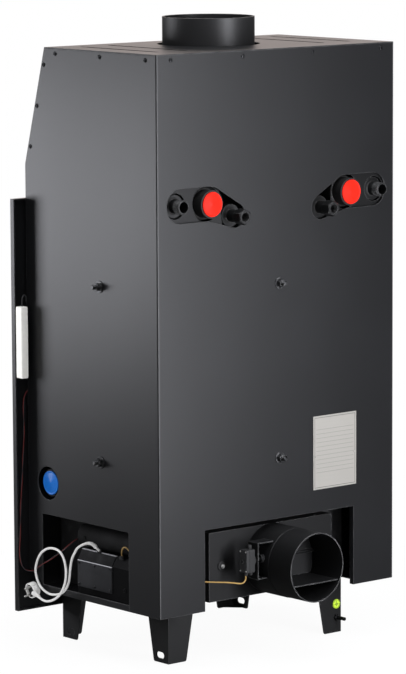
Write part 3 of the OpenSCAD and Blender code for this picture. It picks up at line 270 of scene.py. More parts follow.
class Shape:
    """A piece in the making: bodies are added to one mesh, each in its own place. Sizes are in mm
    where a place has a scale of 0.001, as at() and facing() give it."""

    def __init__(self):
        self.mesh = bmesh.new()

    def rings(self, rings, place=Matrix(), closed=False):
        """Joins rings of points into a skin, with caps at its ends unless it closes on itself."""
        rows = [[self.mesh.verts.new(place @ Vector(p)) for p in ring] for ring in rings]
        count = len(rows[0])
        for i in range(len(rows) if closed else len(rows) - 1):
            low, high = rows[i], rows[(i + 1) % len(rows)]
            for k in range(count):
                self.mesh.faces.new((low[k], low[(k + 1) % count], high[(k + 1) % count], high[k]))
        if not closed:
            self.mesh.faces.new(rows[0][::-1])
            self.mesh.faces.new(rows[-1])
        return [vert for row in rows for vert in row]

    def lathe(self, profile, place=millimetres, sides=56, hexes=(99, 99, 0)):
        """Turns a profile of (radius, height) about the place's Z axis. It ends where the radius is
        0, or joins up with its start. hexes = (half width, from, to) makes hexagons that wide of the
        radii between its last two numbers."""
        solid = profile[0][0] == 0
        rings = []
        for radius, height in profile:
            ring = []
            for angle in round_turn(sides):
                corner = hexes[0] / cos((angle + pi / 6) % (pi / 3) - pi / 6)
                reach = max(min(radius, corner) if hexes[1] < radius < hexes[2] else radius, 0.001)
                ring.append((reach * cos(angle), reach * sin(angle), height))
            rings.append(ring)
        self.rings(rings, place, closed=not solid)

    def sweep(self, line, size, sides=12):
        """A tube along a line of points in metres; size(s) is its radius at the part s of its way."""
        rings = []
        for i, (point, side, other) in enumerate(frames(line)):
            radius = size(i / (len(line) - 1))
            rings.append([point + (side * cos(t) + other * sin(t)) * radius for t in round_turn(sides)])
        self.rings(rings)

    def block(self, low, high, place=Matrix(), soft=0.0, segments=2):
        """A box between two corners, with its edges rounded by soft."""
        made = bmesh.ops.create_cube(self.mesh, size=1)["verts"]
        for vert in made:
            vert.co = Vector(low[i] if vert.co[i] < 0 else high[i] for i in range(3))
        self.settle(made, place, soft, segments)

    def prism(self, outline, bottom, top, place=Matrix(), soft=0.0):
        """A flat shape given by its outline, between two heights of the place's Z axis."""
        made = self.rings([[(x, y, z) for x, y in outline] for z in (bottom, top)])
        self.settle(made, place, soft, 2)

    def settle(self, made, place, soft, segments):
        """Rounds the edges of a body by soft and moves it to its place."""
        if soft:
            edges = dict.fromkeys(edge for vert in made for edge in vert.link_edges)
            fresh = bmesh.ops.bevel(self.mesh, geom=list(edges), offset=soft, segments=segments,
                                    profile=0.5, affect="EDGES", clamp_overlap=True)["verts"]
            made = {*(vert for vert in made if vert.is_valid), *fresh}
        for vert in made:
            vert.co = place @ vert.co

    def shell(self, name):
        """Ends the mesh, with its faces pointing outwards."""
        bmesh.ops.recalc_face_normals(self.mesh, faces=self.mesh.faces)
        mesh = bpy.data.meshes.new(name)
        self.mesh.to_mesh(mesh)
        self.mesh.free()
        return mesh

    def piece(self, name, slot, look, *replaced, body="insert"):
        """Ends the mesh as one piece that rides on a body and stands for the nodes it replaces."""
        mesh = self.shell(name)
        mesh.materials.append(look)
        return mounted(name, mesh, body, slot, replaced)


def at(x, d, h):
    """The place at x across, d in front of the back panel's face and h above the casing's foot, in
    mm. Its axes are those of the insert."""
    return Matrix.Translation((x / 1000, (half_depth - d) / 1000, (leg_height + h) / 1000)) @ millimetres


def facing(x, d, h, way):
    """The same place with its Z axis turned to a way such as "Y", back, or "-Y", front."""
    quarter, axis = {"X": (1, "Y"), "-X": (-1, "Y"), "Y": (-1, "X"), "-Y": (1, "X")}[way]
    return at(x, d, h) @ Matrix.Rotation(quarter * pi / 2, 4, axis)


def outward(x, d, h):
    """A place whose Z axis points away from the casing's middle, to one side."""
    return facing(x, d, h, "X" if x > 0 else "-X")


def smooth(points, steps=8):
    """The smooth line through points, each given by how far it is inside the service side, its depth
    and its height in mm."""
    spots = [at(half_width - a, d, h).translation for a, d, h in points]
    line = []
    for i in range(len(spots) - 1):
        a, b, c, d = (spots[min(max(i + k, 0), len(spots) - 1)] for k in (-1, 0, 1, 2))
        for t in (k / steps for k in range(steps)):
            line.append((b * 2 + (c - a) * t + (a * 2 - b * 5 + c * 4 - d) * t ** 2
                         + (b * 3 - a - c * 3 + d) * t ** 3) / 2)
    return line + [spots[-1]]


def wire(name, line, radius, slot, look, *replaced, far_end="object", stiffness="limp", pieces=()):
    """A hanging cord as one open spline, whose length it measures."""
    curve = bpy.data.curves.new(name, "CURVE")
    curve.dimensions = "3D"
    curve.bevel_depth, curve.bevel_resolution, curve.use_fill_caps = radius, 4, True
    spline = curve.splines.new("POLY")
    spline.points.add(len(line) - 1)
    for point, spot in zip(spline.points, line):
        point.co = (*spot, 1)
    spline.use_smooth = True
    curve.materials.append(look)
    cord = carried(put(name, curve), "insert", slot, replaced)
    length = sum((b - a).length for a, b in zip(line, line[1:]))
    tuple(line[0])


def plastic(name, tone, rough=0.42, grain=900, relief=0.00004, soil=0.06, specular=0.25):
    """Moulded plastic: fine grain, slightly uneven gloss and a trace of dust."""
    look = Look(name, Specular_IOR_Level=specular)
    cloud = look.noise(14, 3)
    dust = look.noise(60, 4)
    grime = tuple(c * (1 - soil) for c in tone)
    return look.done(look.noise(grain, 2), relief, 0.0004,
                     tone=look.mix(dust.step(0.35, 0.75), tone, grime),
                     gloss=cloud.between(rough - 0.05, rough + 0.07))


bend = 25
mains_line = smooth([(26, 238, 109), (20, 238, 115)] + [
    (bend * (cos(radians(t)) - cos(pi / 4)) + 14, 238 + ((t - 45) / 28) ** 2,
     bend * (sin(radians(t)) - sin(pi / 4)) + 121) for t in range(45, 146, 20)
] + [
    (-27, 256, 107), (-27, 264, 95), (-24, 272, 82), (-20, 280, 68), (-17, 286, 52), (-16, 292, 35),
    (-16, 303, 19), (-17, 319, 8), (-19, 338, 3), (-20, 358, 3), (-20, 379, 10), (-20, 395, 25),
    (-20, 402, 47), (-19, 397, 69), (-18, 384, 88), (-17, 364, 100), (-17, 341, 104), (-18, 318, 100),
    (-21, 300, 86), (-24, 290, 66), (-26, 289, 44), (-27, 297, 23), (-28, 312, 5), (-30, 332, -7),
    (-31, 353, -12), (-30, 374, -9), (-28, 395, -3)
])
white_pvc = plastic("white_pvc", (0.7, 0.695, 0.67), rough=0.38, soil=0.1)
relief_start, relief_end = 12, 40
root_radius, taper, rib = 0.0042, 0.0014, 0.0003
relief = Shape()
relief.sweep(mains_line[relief_start:relief_end],
             lambda s: root_radius - taper * s + rib * cos(s * 60), sides=20)
relief = relief.piece("mains_relief", "cord_white", white_pvc)
plug_place = at(360, 395, -3) @ Matrix.Rotation(radians(75), 4, "X")
plug_axis = (plug_place @ Matrix.Translation((0, 0, 17)) @ Matrix.Rotation(radians(-12), 4, "Z")
             @ Matrix.Rotation(pi / 2, 4, "Y"))
plug = Shape()
plug.lathe([(2.6, -16), (3.4, -16), (3.6, -13.6), (3.2, -13), (3.9, -10.6), (3.5, -10), (4.3, -7.6),
            (3.9, -7), (4.8, -4.6), (4.4, -4), (5.4, -1), (5.5, 0), (5.5, 6), (2.6, 6)], plug_place, sides=32)
plug.lathe([(0, -18.4), (9, -18.2), (13.5, -17), (16.2, -14.4), (17, -11), (17, 0.6), (16.4, 1.6),
            (14.9, 1.6), (14.4, 0.8), (14.4, -6.5), (0, -6.5)], plug_axis)
for k in range(14):
    plug.block((-0.8, 16.2, -10), (0.8, 17, -1.5), plug_axis @ Matrix.Rotation(k * pi / 7, 4, "Z"),
               soft=0.35)
plug = plug.piece("plug_body", "cord_white", white_pvc, "mains_plug")
plug_face = Shape()
plug_face.lathe([(0, -7), (14.4, -7), (14.4, -4.4), (13.8, -4), (7, -4), (6.6, -4.6), (0, -4.6)], plug_axis)
for y in (-13.6, 13.6):
    plug_face.block((-3, y - 0.9, -5), (3, y + 0.9, 1.2), plug_axis, soft=0.3)
plug_face = plug_face.piece("plug_face", "motor_black", plastic("dark_face", (0.02, 0.021, 0.023), 0.5))
pins = Shape()
for y in (-9.5, 9.5):
    pins.lathe([(0, -5), (2.4, -5), (2.4, 13.4), (2.1, 15.4), (1.3, 16.5), (0, 16.7)],
               plug_axis @ Matrix.Translation((0, y, 0)), sides=20)
steel = Look("bright_pin", Metallic=1.0)
steel.done(steel.noise(600, 2, (1, 1, 6)), 0.00002, 0.0002, tone=steel.mix(
    steel.noise(90), (0.62, 0.61, 0.58), (0.74, 0.73, 0.7)),
    gloss=steel.noise(50).between(0.22, 0.36))
pins = pins.piece("plug_pins", "zinc", steel.material)
wire("mains_lead", mains_line, 0.0026, "cord_white", white_pvc, "mains_cord", far_end="plug",
     stiffness="medium", pieces=(plug, plug_face, pins))

# Thin leads: a red and a dark wire twisted into a pair down the rear edge of the side, a tan cable
# under the control box to the damper motor, and a short dark lead from the display. PVC wires.
pair_line = smooth([
    (76, 430, 452), (66, 430, 452), (56, 430, 452), (44, 433, 452), (31, 439, 451), (17, 446, 447),
    (4, 451, 438), (-5, 454, 424), (-8, 454, 405), (-9, 453, 380), (-9, 453, 340), (-12, 452, 300),
    (-15, 452, 260), (-19, 451, 220), (-22, 450, 180), (-25, 449, 140), (-28, 447, 105), (-29, 446, 75),
    (-25, 445, 54), (-17, 443, 42), (-9, 436, 39), (-7, 424, 42), (-6, 410, 51), (-4, 397, 60),
    (2, 385, 68), (8, 368, 80), (11, 350, 92), (14, 336, 103), (24, 328, 114), (40, 327, 121),
    (56, 328, 125), (66, 328, 125), (76, 328, 125)
])


def twisted(line, radius, turn_length, start):
    """One strand of a twisted bundle along the line."""
    strand, gone = [], 0
    for i, (point, side, other) in enumerate(frames(line)):
        gone += (point - line[i - 1]).length if i else 0
        angle = start + 2 * pi * gone / turn_length
        strand.append(point + (side * cos(angle) + other * sin(angle)) * radius)
    return strand


strand_radius, twist_length = 0.0008, 0.11
for strand, slot, tone, rough, start in (("red", "cable_red", (0.13, 0.018, 0.017), 0.4, 0.4),
                                         ("dark", "wire_dark", (0.03, 0.03, 0.033), 0.45, 0.4 + pi)):
    wire("sensor_wire_" + strand, twisted(pair_line, strand_radius, twist_length, start), strand_radius,
         slot, plastic(strand + "_wire", tone, rough), "sensor_cable")
wire("damper_wire", smooth([
    (26, 160, 109), (26, 160, 117), (26, 158, 124), (25, 151, 129), (25, 143, 129), (24, 134, 125),
    (24, 123, 118), (26, 105, 110), (32, 80, 100), (46, 56, 84), (66, 38, 72), (92, 27, 64),
    (116, 20, 62), (134, 11, 61), (152, -3, 60), (170, -16, 59), (184, -24, 57), (196, -29, 55),
    (204, -30, 56), (209, -30, 60), (210.5, -30, 65), (210.5, -30, 70)
]), 0.0015, "wire_tan", plastic("tan_wire", (0.3, 0.19, 0.06), 0.45), "damper_cable")
wire("display_lead", smooth([
    (-20, 440, 622), (-20, 440, 629), (-20, 440, 636), (-17, 441, 643), (-10, 444, 646), (-3, 448, 641),
    (0, 451, 632), (5, 452, 623), (14, 450, 617), (26, 446, 613), (40, 441, 611), (56, 433, 610),
    (66, 430, 610), (76, 430, 610)
]), 0.0012, "wire_dark", plastic("display_wire", (0.05, 0.05, 0.052), 0.45), "display_wire")


# Casing: sheet panels with satin black powder coat. The coat has a fine orange peel and drifts a little
# in gloss from spray pass to spray pass. Its folded edges are painted lighter, partly as rubbed wear and
# partly as a painted highlight.
def finish(look, *names):
    for name in names:
        for holder in nodes[name].material_slots:
            holder.material = look


def coat(name, tone, rough, specular=0.5, edge=0.0009, wear_and_highlight=0.25, sound=9.0, seam=9.0):
    """Powder coat on folded sheet: orange peel, drifting gloss, edges painted a little lighter, partly as
    rubbed wear and partly as a painted highlight, but for those at sound, a place along Y. seam, a place
    along Y on both sides, gets a dark joint, and the corner next to it a bright rim, a painted highlight."""
    look = Look(name, Specular_IOR_Level=specular)
    drift = look.noise(1.3, 1, (1, 1, 0.35))
    film = look.noise(5, 3)
    peeled = look.noise(520, 1.5)
    rounded = look.node("Bevel", {"samples": 6}, {"Radius": edge})
    flat = look.node("NewGeometry", out="Normal")
    bent = 1 - look.node("VectorMath", {"operation": "DOT_PRODUCT"}, {0: rounded, 1: flat}, out="Value")
    # folded edges found by the bevel are painted lighter: partly rubbed wear, partly a painted highlight
    edge_wear_and_highlight = bent.step(0.02, 0.2) * look.noise(40, 3).step(0.35, 0.6, 0.4, 1) * wear_and_highlight
    edge_wear_and_highlight = edge_wear_and_highlight * abs(look.y - sound).step(0.0018, 0.0028)
    grey = tuple(c * 1.35 for c in tone)
    inward, corner = abs(abs(look.x) - half_width / 1000), 0.0032
    joint = abs(look.y - seam).step(0.0014, 0.002, 1, 0) * inward.step(0.0003, 0.0007, 1, 0)
    # the corner line beside the seam is painted bright: a painted highlight
    rim_highlight = abs(look.y - seam - corner).step(0.0018, 0.0024, 1, 0) * inward.step(0.0018, 0.0024, 1, 0)
    coated = look.mix(rim_highlight, look.mix(film.step(0.35, 0.8), tone, grey), (0.048, 0.0485, 0.05))
    rubbed = look.mix(edge_wear_and_highlight, coated, (0.3, 0.3, 0.3))
    return look.done(peeled, 0.00006, edge,
                     tone=look.mix(joint, rubbed, (0.001, 0.001, 0.001)),
                     gloss=drift.between(rough - 0.02, rough + 0.03) + peeled * 0.03 + joint * 0.5)


casing_coat = coat("casing_coat", (0.0045, 0.0047, 0.0054), 0.41, edge=0.002, wear_and_highlight=0.3, seam=0.1958)
finish(casing_coat, "side_panel_right", "side_panel_left", "back_panel", "top_cover", "hood_front",
       "front_plate", "bay_trays")
duct_coat = coat("duct_coat", (0.003, 0.0031, 0.0033), 0.54, specular=0.36, edge=0.0014, wear_and_highlight=0.7,
                 sound=0.249)
finish(duct_coat, "air_box", "intake_duct", "duct_partition", "damper_blade", "actuator_bracket")
finish(coat("leg_coat", (0.004, 0.0042, 0.0044), 0.44, edge=0.0014), "rear_legs", "front_legs")

# Boiler: welded steel plate under matt high-temperature paint, with the mill's faint streaks and
# small runs showing through. The flue collar has a smoother coat.
def boiler_paint(name, tone, rough):
    look = Look(name, Specular_IOR_Level=0.35)
    streak = look.noise(16, 3, (1, 1, 0.12))
    grit = look.noise(700, 2)
    scuff = look.noise(45, 5)
    return look.done(grit + streak * 0.8, 0.00009, 0.0009,
                     tone=look.mix(scuff.step(0.5, 0.75), tone, tuple(c * 1.9 for c in tone)),
                     gloss=streak.between(rough - 0.07, rough + 0.06))


boiler_black = boiler_paint("boiler_black", (0.007, 0.0069, 0.0068), 0.6)
finish(boiler_black, "base_plate", "jacket_inner", "tube_plates", "flame_tubes", "smoke_box",
       "boiler_front", "supply_sockets", "return_sockets", "nipples", "coil_fittings")
# The jacket's outer face gets a lighter copy of the boiler paint: painted light where it lies in shadow
# behind the cut-outs.
finish(boiler_paint("jacket_grey", (0.02, 0.02, 0.0206), 0.55), "jacket_outer")
# The drain header gets a darker copy of the boiler paint: painted shade.
finish(boiler_paint("header_black", (0.002, 0.002, 0.002), 0.85), "drain_header")
finish(coat("collar_coat", (0.011, 0.011, 0.0116), 0.45, specular=0.6, edge=0.0012, wear_and_highlight=0.35),
       "flue_collar")

# Firebox: pressed vermiculite boards with glinting flakes and chipped edges, and a cast-iron grate
# and log guard with the sand mould's pitted skin and a rusty tinge.
clay = Look("vermiculite", Specular_IOR_Level=0.3)
flakes = clay.node("TexVoronoi", {"feature": "F1"}, {"Vector": clay.place, "Scale": 210}, out="Color")
flake = clay.node("SeparateXYZ", {}, {0: flakes}, out=0)
pits = clay.noise(320, 4)
clay.done(pits + flake * 0.6, 0.0008, 0.0016, tone=clay.mix(
    flake.step(0.75, 0.95),
    clay.mix(clay.noise(26, 4).step(0.3, 0.7), (0.42, 0.33, 0.2), (0.5, 0.42, 0.28)), (0.62, 0.52, 0.3)),
    gloss=flake.step(0.7, 0.95, 0.92, 0.6))
finish(clay.material, "firebox_lining", "hearth_floor", "baffle")
iron = Look("cast_iron", Specular_IOR_Level=0.35, Metallic=0.35)
skin = iron.noise(260, 5, rough=0.7)
iron.done(skin, 0.0007, 0.0018, tone=iron.mix(
    iron.noise(20, 5).step(0.55, 0.8), (0.035, 0.034, 0.033), (0.1, 0.052, 0.03)),
    gloss=skin.between(0.55, 0.8))
finish(iron.material, "grate", "log_guard")

# Cooling coil: bent copper tube, dulled to brown by heat in soft cloudy patches. It lies in the
# jacket between its two unions.
copper = Look("copper", Metallic=1.0)
tarnish = copper.noise(38, 4)
copper.done(copper.noise(500, 2, (1, 1, 0.2)), 0.00003, tone=copper.mix(
    tarnish.step(0.35, 0.7), (0.72, 0.34, 0.2), (0.3, 0.13, 0.08)),
    gloss=tarnish.between(0.3, 0.52))
finish(copper.material, "cooling_coil")

# Rating plate: a blank brushed aluminium plate with a ruled border, blank rows and two dull rivets,
# on the back panel. Nothing is printed in its rows.
plate = Look("rating_plate", Metallic=0.35)
brushed = plate.noise(900, 3, (0.02, 1, 1))
plate_left, plate_height, half_wide, half_tall = 0.1605, 0.4265, 0.0585, 0.0765
across_plate, up_plate = abs(plate.x + plate_left), abs(plate.z - plate_height)
border = (across_plate - half_wide).most(up_plate - half_tall)
ruled = abs(border).step(0.0003, 0.0008, 1, 0)
row_pitch = 0.0094
row = abs((plate.z - 0.35) % row_pitch - row_pitch / 2).step(0.0002, 0.0006, 1, 0)
rows = row * (border + 0.004).step(-0.0002, 0, 1, 0) * up_plate.step(0.052, 0.053, 1, 0)
metal_tone = plate.mix(brushed, (0.29, 0.28, 0.255), (0.355, 0.342, 0.312))
plate.done(brushed, 0.00002, 0.0006, tone=plate.mix(
    ruled.most(rows * 0.55), metal_tone, (0.11, 0.106, 0.098)), gloss=brushed.between(0.34, 0.5))
finish(plate.material, "rating_plate")

# Earth disc: a round lime-yellow sticker with the plain earth sign, on the rear leg beside the earth
# bolt.
disc = Look("earth_disc", Specular_IOR_Level=0.4)
disc_left, disc_height, ring_radius = 0.234, 0.064, 0.0092
sign_x, sign_z = disc.x + disc_left, disc.z - disc_height
ring = (sign_x ** 2 + sign_z ** 2) ** 0.5
mark = (abs(sign_x) - 0.0005).most(abs(sign_z - 0.0036) - 0.0036)
for width, height in ((0.0052, -0.0002), (0.0034, -0.0022), (0.0016, -0.0042)):
    mark = mark.least((abs(sign_x) - width).most(abs(sign_z - height) - 0.0005))
printed = mark.step(-0.0001, 0.0001, 1, 0).most(abs(ring - ring_radius).step(0.0003, 0.0005, 1, 0))
lime = disc.mix(disc.noise(180).step(0.4, 0.6), (0.42, 0.62, 0.025), (0.37, 0.56, 0.025))
disc.done(disc.noise(400), 0.00002, tone=disc.mix(printed, lime, (0.02, 0.03, 0.01)),
          gloss=disc.noise(60).between(0.35, 0.5))
finish(disc.material, "earth_disc")

# Door: satin black steel frame with its brackets, lever, air slider and ash drawer. Ceramic glass
# with a black border printed on it, faintly smoked towards the bottom.
door_coat = coat("door_coat", (0.01, 0.01, 0.0102), 0.38, edge=0.0012)
finish(door_coat, "door_frame", "door_brackets", "door_handle", "air_slider", "ash_drawer")
glass = Look("ceramic_glass", IOR=1.5, Specular_IOR_Level=0.5)
half_pane_x, half_pane_z, pane_middle = 0.186, 0.261, 0.557
print_edge = (abs(glass.x) - half_pane_x).most(abs(glass.z - pane_middle) - half_pane_z)
soot = glass.noise(9, 4) * (glass.z - 0.3).step(0, 0.2, 1, 0)
border_print = print_edge.step(-0.0004, 0.0004)
see_through = glass.node("BsdfTransparent", {}, {"Color": (0.55, 0.5, 0.44)})
glass.done(glass.noise(30), 0.00001,
           tone=glass.mix(border_print, (0.02, 0.018, 0.016), (0.008, 0.008, 0.008)),
           gloss=border_print.step(0, 1, 0.06, 0.3) + soot * 0.15)
fresnel = glass.node("LayerWeight", {}, {"Blend": 0.35}, out="Fresnel")
glass.show(border_print.most(soot * 0.7 + fresnel), see_through, glass.coating)
finish(glass.material, "door_glass")

# Control box: a box folded from sheet in the service bay, painted matt black, with moulded plastic
# glands in its walls. Its coat is darker than the casing's: painted shade of the bay. The damper motor's
# housing is the same plastic.
finish(coat("bay_coat", (0.0012, 0.0012, 0.0014), 0.6, specular=0.08), "control_box")
dark_plastic = plastic("dark_plastic", (0.022, 0.0222, 0.0225), 0.55, relief=0.00008)
finish(dark_plastic, "cable_glands", "actuator")

# Fixings: zinc-plated leg bolts and glass clips with a faint bloom, and oiled black-oxide screws that
# are rubbed lighter in places.
zinc = Look("zinc", Metallic=1.0)
bloom = zinc.noise(130, 4)
zinc.done(zinc.noise(800), 0.00002, 0.0005,
          tone=zinc.mix(bloom, (0.5, 0.5, 0.49), (0.66, 0.65, 0.62)),
          gloss=bloom.between(0.3, 0.5))
finish(zinc.material, "leg_bolts", "glass_clips")
oxide = Look("black_oxide", Metallic=0.9)
rubbed = oxide.noise(220, 4)
screw_black = oxide.done(rubbed, 0.00004, 0.0006, tone=oxide.mix(
    rubbed.step(0.5, 0.75), (0.03, 0.0305, 0.032), (0.09, 0.09, 0.09)),
    gloss=rubbed.between(0.3, 0.45))
finish(screw_black, "panel_screws", "spacer_bolts", "earth_bolt")

# Panel screws: black pan heads with a hexagon socket on thin washers, along the top of the casing
# and down its slope. One head is turned and Geometry Nodes repeats it, each turned a little.
def repeat_tree():
    """Stands a copy of Shape on every point, along the point's aim and turned about it by chance."""
    group = bpy.data.node_groups.new("repeat", "GeometryNodeTree")
    for label, kind in (("Points", "Geometry"), ("Shape", "Object"), ("Finish", "Material"),
                        ("Spin", "Float"), ("Unevenness", "Float"), ("Seed", "Int")):
        group.interface.new_socket(label, in_out="INPUT", socket_type="NodeSocket" + kind)
    group.interface.new_socket("Result", in_out="OUTPUT", socket_type="NodeSocketGeometry")
    tree = Tree(group)
    given = group.nodes.new("NodeGroupInput").outputs
    points, shape, look, spin, unevenness, seed = (Value(tree, socket) for socket in given[:6])

    def chance(low, high):
        limits = {2: low, 3: high, "Seed": seed}
        return tree.node("FunctionNodeRandomValue", {"data_type": "FLOAT"}, limits, 1)

    aim = tree.node("GeometryNodeInputNamedAttribute", {"data_type": "FLOAT_VECTOR"}, {"Name": "aim"})
    upright = tree.node("FunctionNodeAlignRotationToVector", {"axis": "Z"}, {"Vector": aim})
    turn = tree.node("FunctionNodeAxisAngleToRotation", {}, {
        "Axis": (0, 0, 1), "Angle": chance(-1.0, 1.0) * spin})
    turned = tree.node("FunctionNodeRotateRotation", {"rotation_space": "LOCAL"}, {0: upright, 1: turn})
    shrink = chance(-1.0, 0.0)
    size = shrink.maths("MULTIPLY_ADD", shrink, unevenness, 1.0)
    mould = tree.node("GeometryNodeObjectInfo", {}, {"Object": shape}, "Geometry")
    copies = tree.node("GeometryNodeInstanceOnPoints", {}, {
        "Points": points, "Instance": mould, "Rotation": turned, "Scale": size})
    whole = tree.node("GeometryNodeRealizeInstances", {}, {0: copies})
    dressed = tree.node("GeometryNodeSetMaterial", {}, {"Geometry": whole, "Material": look})
    tree.feed(group.nodes.new("NodeGroupOutput").inputs[0], dressed)
    return group


repeats = repeat_tree()


def repeated(name, shape, places, slot, look, *replaced, body="insert", spin=3.1, uneven=0.0, seed=1):
    """Copies a shape in the making to places, each a matrix whose Z axis it stands along, as one plain
    mesh of a body."""
    mould_mesh, stand = shape.shell(name + "_mould"), bpy.data.meshes.new(name + "_points")
    stand.from_pydata([place.translation for place in places], [], [])
    aims = stand.attributes.new("aim", "FLOAT_VECTOR", "POINT")
    for item, place in zip(aims.data, places):
        item.vector = (place.to_3x3() @ Vector((0, 0, 1))).normalized()
    mould, holder = (put(mesh.name, mesh) for mesh in (mould_mesh, stand))
    step = holder.modifiers.new("repeat", "NODES")
    step.node_group = repeats
    inputs = {item.name: item.identifier for item in repeats.interface.items_tree if item.in_out == "INPUT"}
    for label, value in (("Shape", mould), ("Finish", look), ("Spin", spin), ("Unevenness", uneven),
                         ("Seed", seed)):
        step[inputs[label]] = value
    graph = bpy.context.evaluated_depsgraph_get()
    mesh = bpy.data.meshes.new_from_object(holder.evaluated_get(graph), depsgraph=graph)
    for thing, old in ((holder, stand), (mould, mould_mesh)):
        bpy.data.objects.remove(thing)
        bpy.data.meshes.remove(old)
    mesh.name = name
    mounted(name, mesh, body, slot, replaced)


screw_head = Shape()
screw_head.lathe([(0, 0), (5.2, 0), (5.2, 0.5), (4.05, 0.6), (4.05, 1.2), (3.6, 2), (2.8, 2.4),
                  (2.35, 2.45), (2.2, 2.3), (2.2, 1.1), (0, 1.1)], sides=30, hexes=(1.9, 0, 2.25))
# seen from the side: along the top, then down the slope
screw_places = [outward(x, d, h) for x in (half_width, -half_width) for d, h in (
    (37.8, 1171), (189, 1171), (340.2, 1171), (430.35, 968.1), (405.5, 1057), (380.65, 1145.9))]
screw_places += [facing(x, 0, 1171, "Y") for x in (295, 99, -99, -295)]
repeated("panel_screw_heads", screw_head, screw_places, "screw_black", screw_black, "panel_screws")

# Spacer bolts: dark steel studs that hold the casing off the boiler, each with a wide washer, a
# chamfered hexagon nut and a turned thread at its end.
dark_steel = Look("dark_steel", Metallic=0.9)
scuffs = dark_steel.noise(150, 4)
dark_steel.done(scuffs, 0.00005, 0.0006, tone=dark_steel.mix(
    scuffs.step(0.45, 0.7), (0.055, 0.056, 0.058), (0.17, 0.17, 0.17)),
    gloss=scuffs.between(0.34, 0.5))
stud = Shape()
thread = [(4.95 if k % 2 else 4.35, 11.6 + 0.55 * k) for k in range(14)]
stud.lathe([(0, -70), (4.8, -70), (4.8, 11)] + thread + [(4.2, 19.6), (3.6, 20), (0, 20)], millimetres,
           sides=24)
stud.lathe([(4.6, 0), (13, 0), (13, 1.6), (12.6, 2), (4.6, 2)], sides=36)
stud.lathe([(4.6, 2.1), (7.4, 2.1), (9.3, 3.1), (9.3, 9.9), (7.4, 10.9), (5.2, 10.9), (4.6, 10.4)],
           sides=48, hexes=(7.9, 6.5, 99))
stud_places = [outward(x, 196, h) for x in (half_width, -half_width) for h in (686, 310)]
stud_places += [facing(-2, 0, h, "Y") for h in (684, 306)]
repeated("spacer_studs", stud, stud_places, "screw_black", dark_steel.material, "spacer_bolts",
         seed=4)

# Transport caps: thin moulded lids pushed into the sockets, red on the supplies and blue on the
# returns, with a beaded rim, a shallow dish and the moulding's gate mark.
supply_x, supply_h = 196, 867
return_x, return_d, return_h = 323, 380, 240
supplies = [facing(x, -13, supply_h, "Y") for x in (supply_x, -supply_x)]
returns = [outward(x, return_d, return_h) for x in (return_x, -return_x)]
for colour, tone, rough, specular, places in (("red", (0.64, 0.014, 0.006), 0.45, 0.07, supplies),
                                              ("blue", (0.004, 0.125, 0.48), 0.36, 0.25, returns)):
    cap_plastic = plastic(colour + "_plastic", tone, rough, soil=0.1, specular=specular)
    finish(cap_plastic, colour + "_caps")
    caps = Shape()
    for place in places:
        caps.lathe([(0, 2.55), (1.5, 2.55), (1.9, 2.4), (21.6, 2.35), (22.3, 2.1), (23, 2.35), (24, 2.95),
                    (25.2, 3), (26, 2.6), (26.3, 1.9), (26.3, 0.5), (25.9, 0.05), (22, 0), (21.9, -9),
                    (21.6, -11.5), (20.2, -12), (20, -11.5), (20, 0.8), (0, 0.9)][::-1], place, sides=72)
    caps.piece(colour + "_cap_pair", colour + "_cap", cap_plastic, colour + "_caps")

# Water fittings: threaded nipples with their elbows, and the cooling coil's unions with chamfered
# hexagons, threads inside and welding bosses. Steel turned, bent and painted with the boiler.
nipple_x, coil_x, coil_h = 280, 125, 837
fittings = Shape()
for side in (1, -1):
    place = facing(side * nipple_x, 0, supply_h, "Y")
    turns = [(15.2 if k % 2 else 14.2, 3.4 + 0.95 * k) for k in range(19)]
    fittings.lathe([(12.05, 22), (12.4, 22), (14.2, 21.4)] + turns[::-1]
                   + [(15.2, 1.5), (15.2, -130), (12.05, -130)], place)
    fittings.lathe([(15, -24), (25, -24), (25, -11.2), (23.8, -10), (15, -10)], place)
    elbow = [at(side * (nipple_x - 30 + 30 * cos(t)), 130 + 30 * sin(t), supply_h).translation
             for t in (k * pi / 24 for k in range(13))]
    fittings.sweep(elbow, lambda s: 0.0152, sides=32)
# coat() paints the fittings' rims lighter: painted highlights on the rims, partly wear
fitting_coat = coat("fitting_coat", (0.003, 0.0031, 0.0033), 0.48, specular=0.35, edge=0.0012, wear_and_highlight=0.6)
fittings.piece("nipple_pair", "boiler_black", fitting_coat, "nipples")
unions = Shape()
for side in (1, -1):
    place = facing(side * coil_x, 0, coil_h, "Y")
    bore = [(9.3 if k % 2 else 8.7, 15.2 + 0.9 * k) for k in range(24)]
    unions.lathe([(9.3, 37.2), (10, 38), (13.6, 38), (17.4, 36), (17.4, 16), (15.2, 14), (13, 14),
                  (9.3, 14.2)] + bore, place, sides=72, hexes=(15, 14.5, 99))
    unions.lathe([(8.3, 14.5), (8.3, -76), (13.3, -76), (13.3, 14.4)], place)
    unions.lathe([(13, -26), (25, -26), (25, -11.2), (23.8, -10), (13, -10)], place)
unions.piece("coil_unions", "boiler_black", fitting_coat, "coil_fittings")

# Weld beads: overlapping ripples of weld metal round the bosses and sockets, one ripple repeated by
# Geometry Nodes with uneven sizes.
ripple = Shape()
ripple.lathe([(0, -0.8), (2.4, -0.8), (2.3, 0.2), (1.6, 1), (0.7, 1.35), (0, 1.4)], sides=12)
bead_pitch, bead_places = 1.7, []
for x, h, d, radius in ((nipple_x, supply_h, 10, 15.4), (coil_x, coil_h, 10, 13.5),
                        (supply_x, supply_h, 15, 30.2)):
    for side in (1, -1):
        for angle in round_turn(round(2 * pi * radius / bead_pitch)):
            place = facing(side * x, d, h, "Y") @ Matrix.Rotation(angle, 4, "Z")
            bead_places.append(place @ Matrix.Translation((radius + 1, 0, -0.3))
                               @ Matrix.Rotation(radians(35), 4, "Y"))
weld_metal = boiler_paint("weld_metal", (0.016, 0.0155, 0.015), 0.45)
repeated("weld_beads", ripple, bead_places, "boiler_black", weld_metal, spin=0.4, uneven=0.35, seed=7)

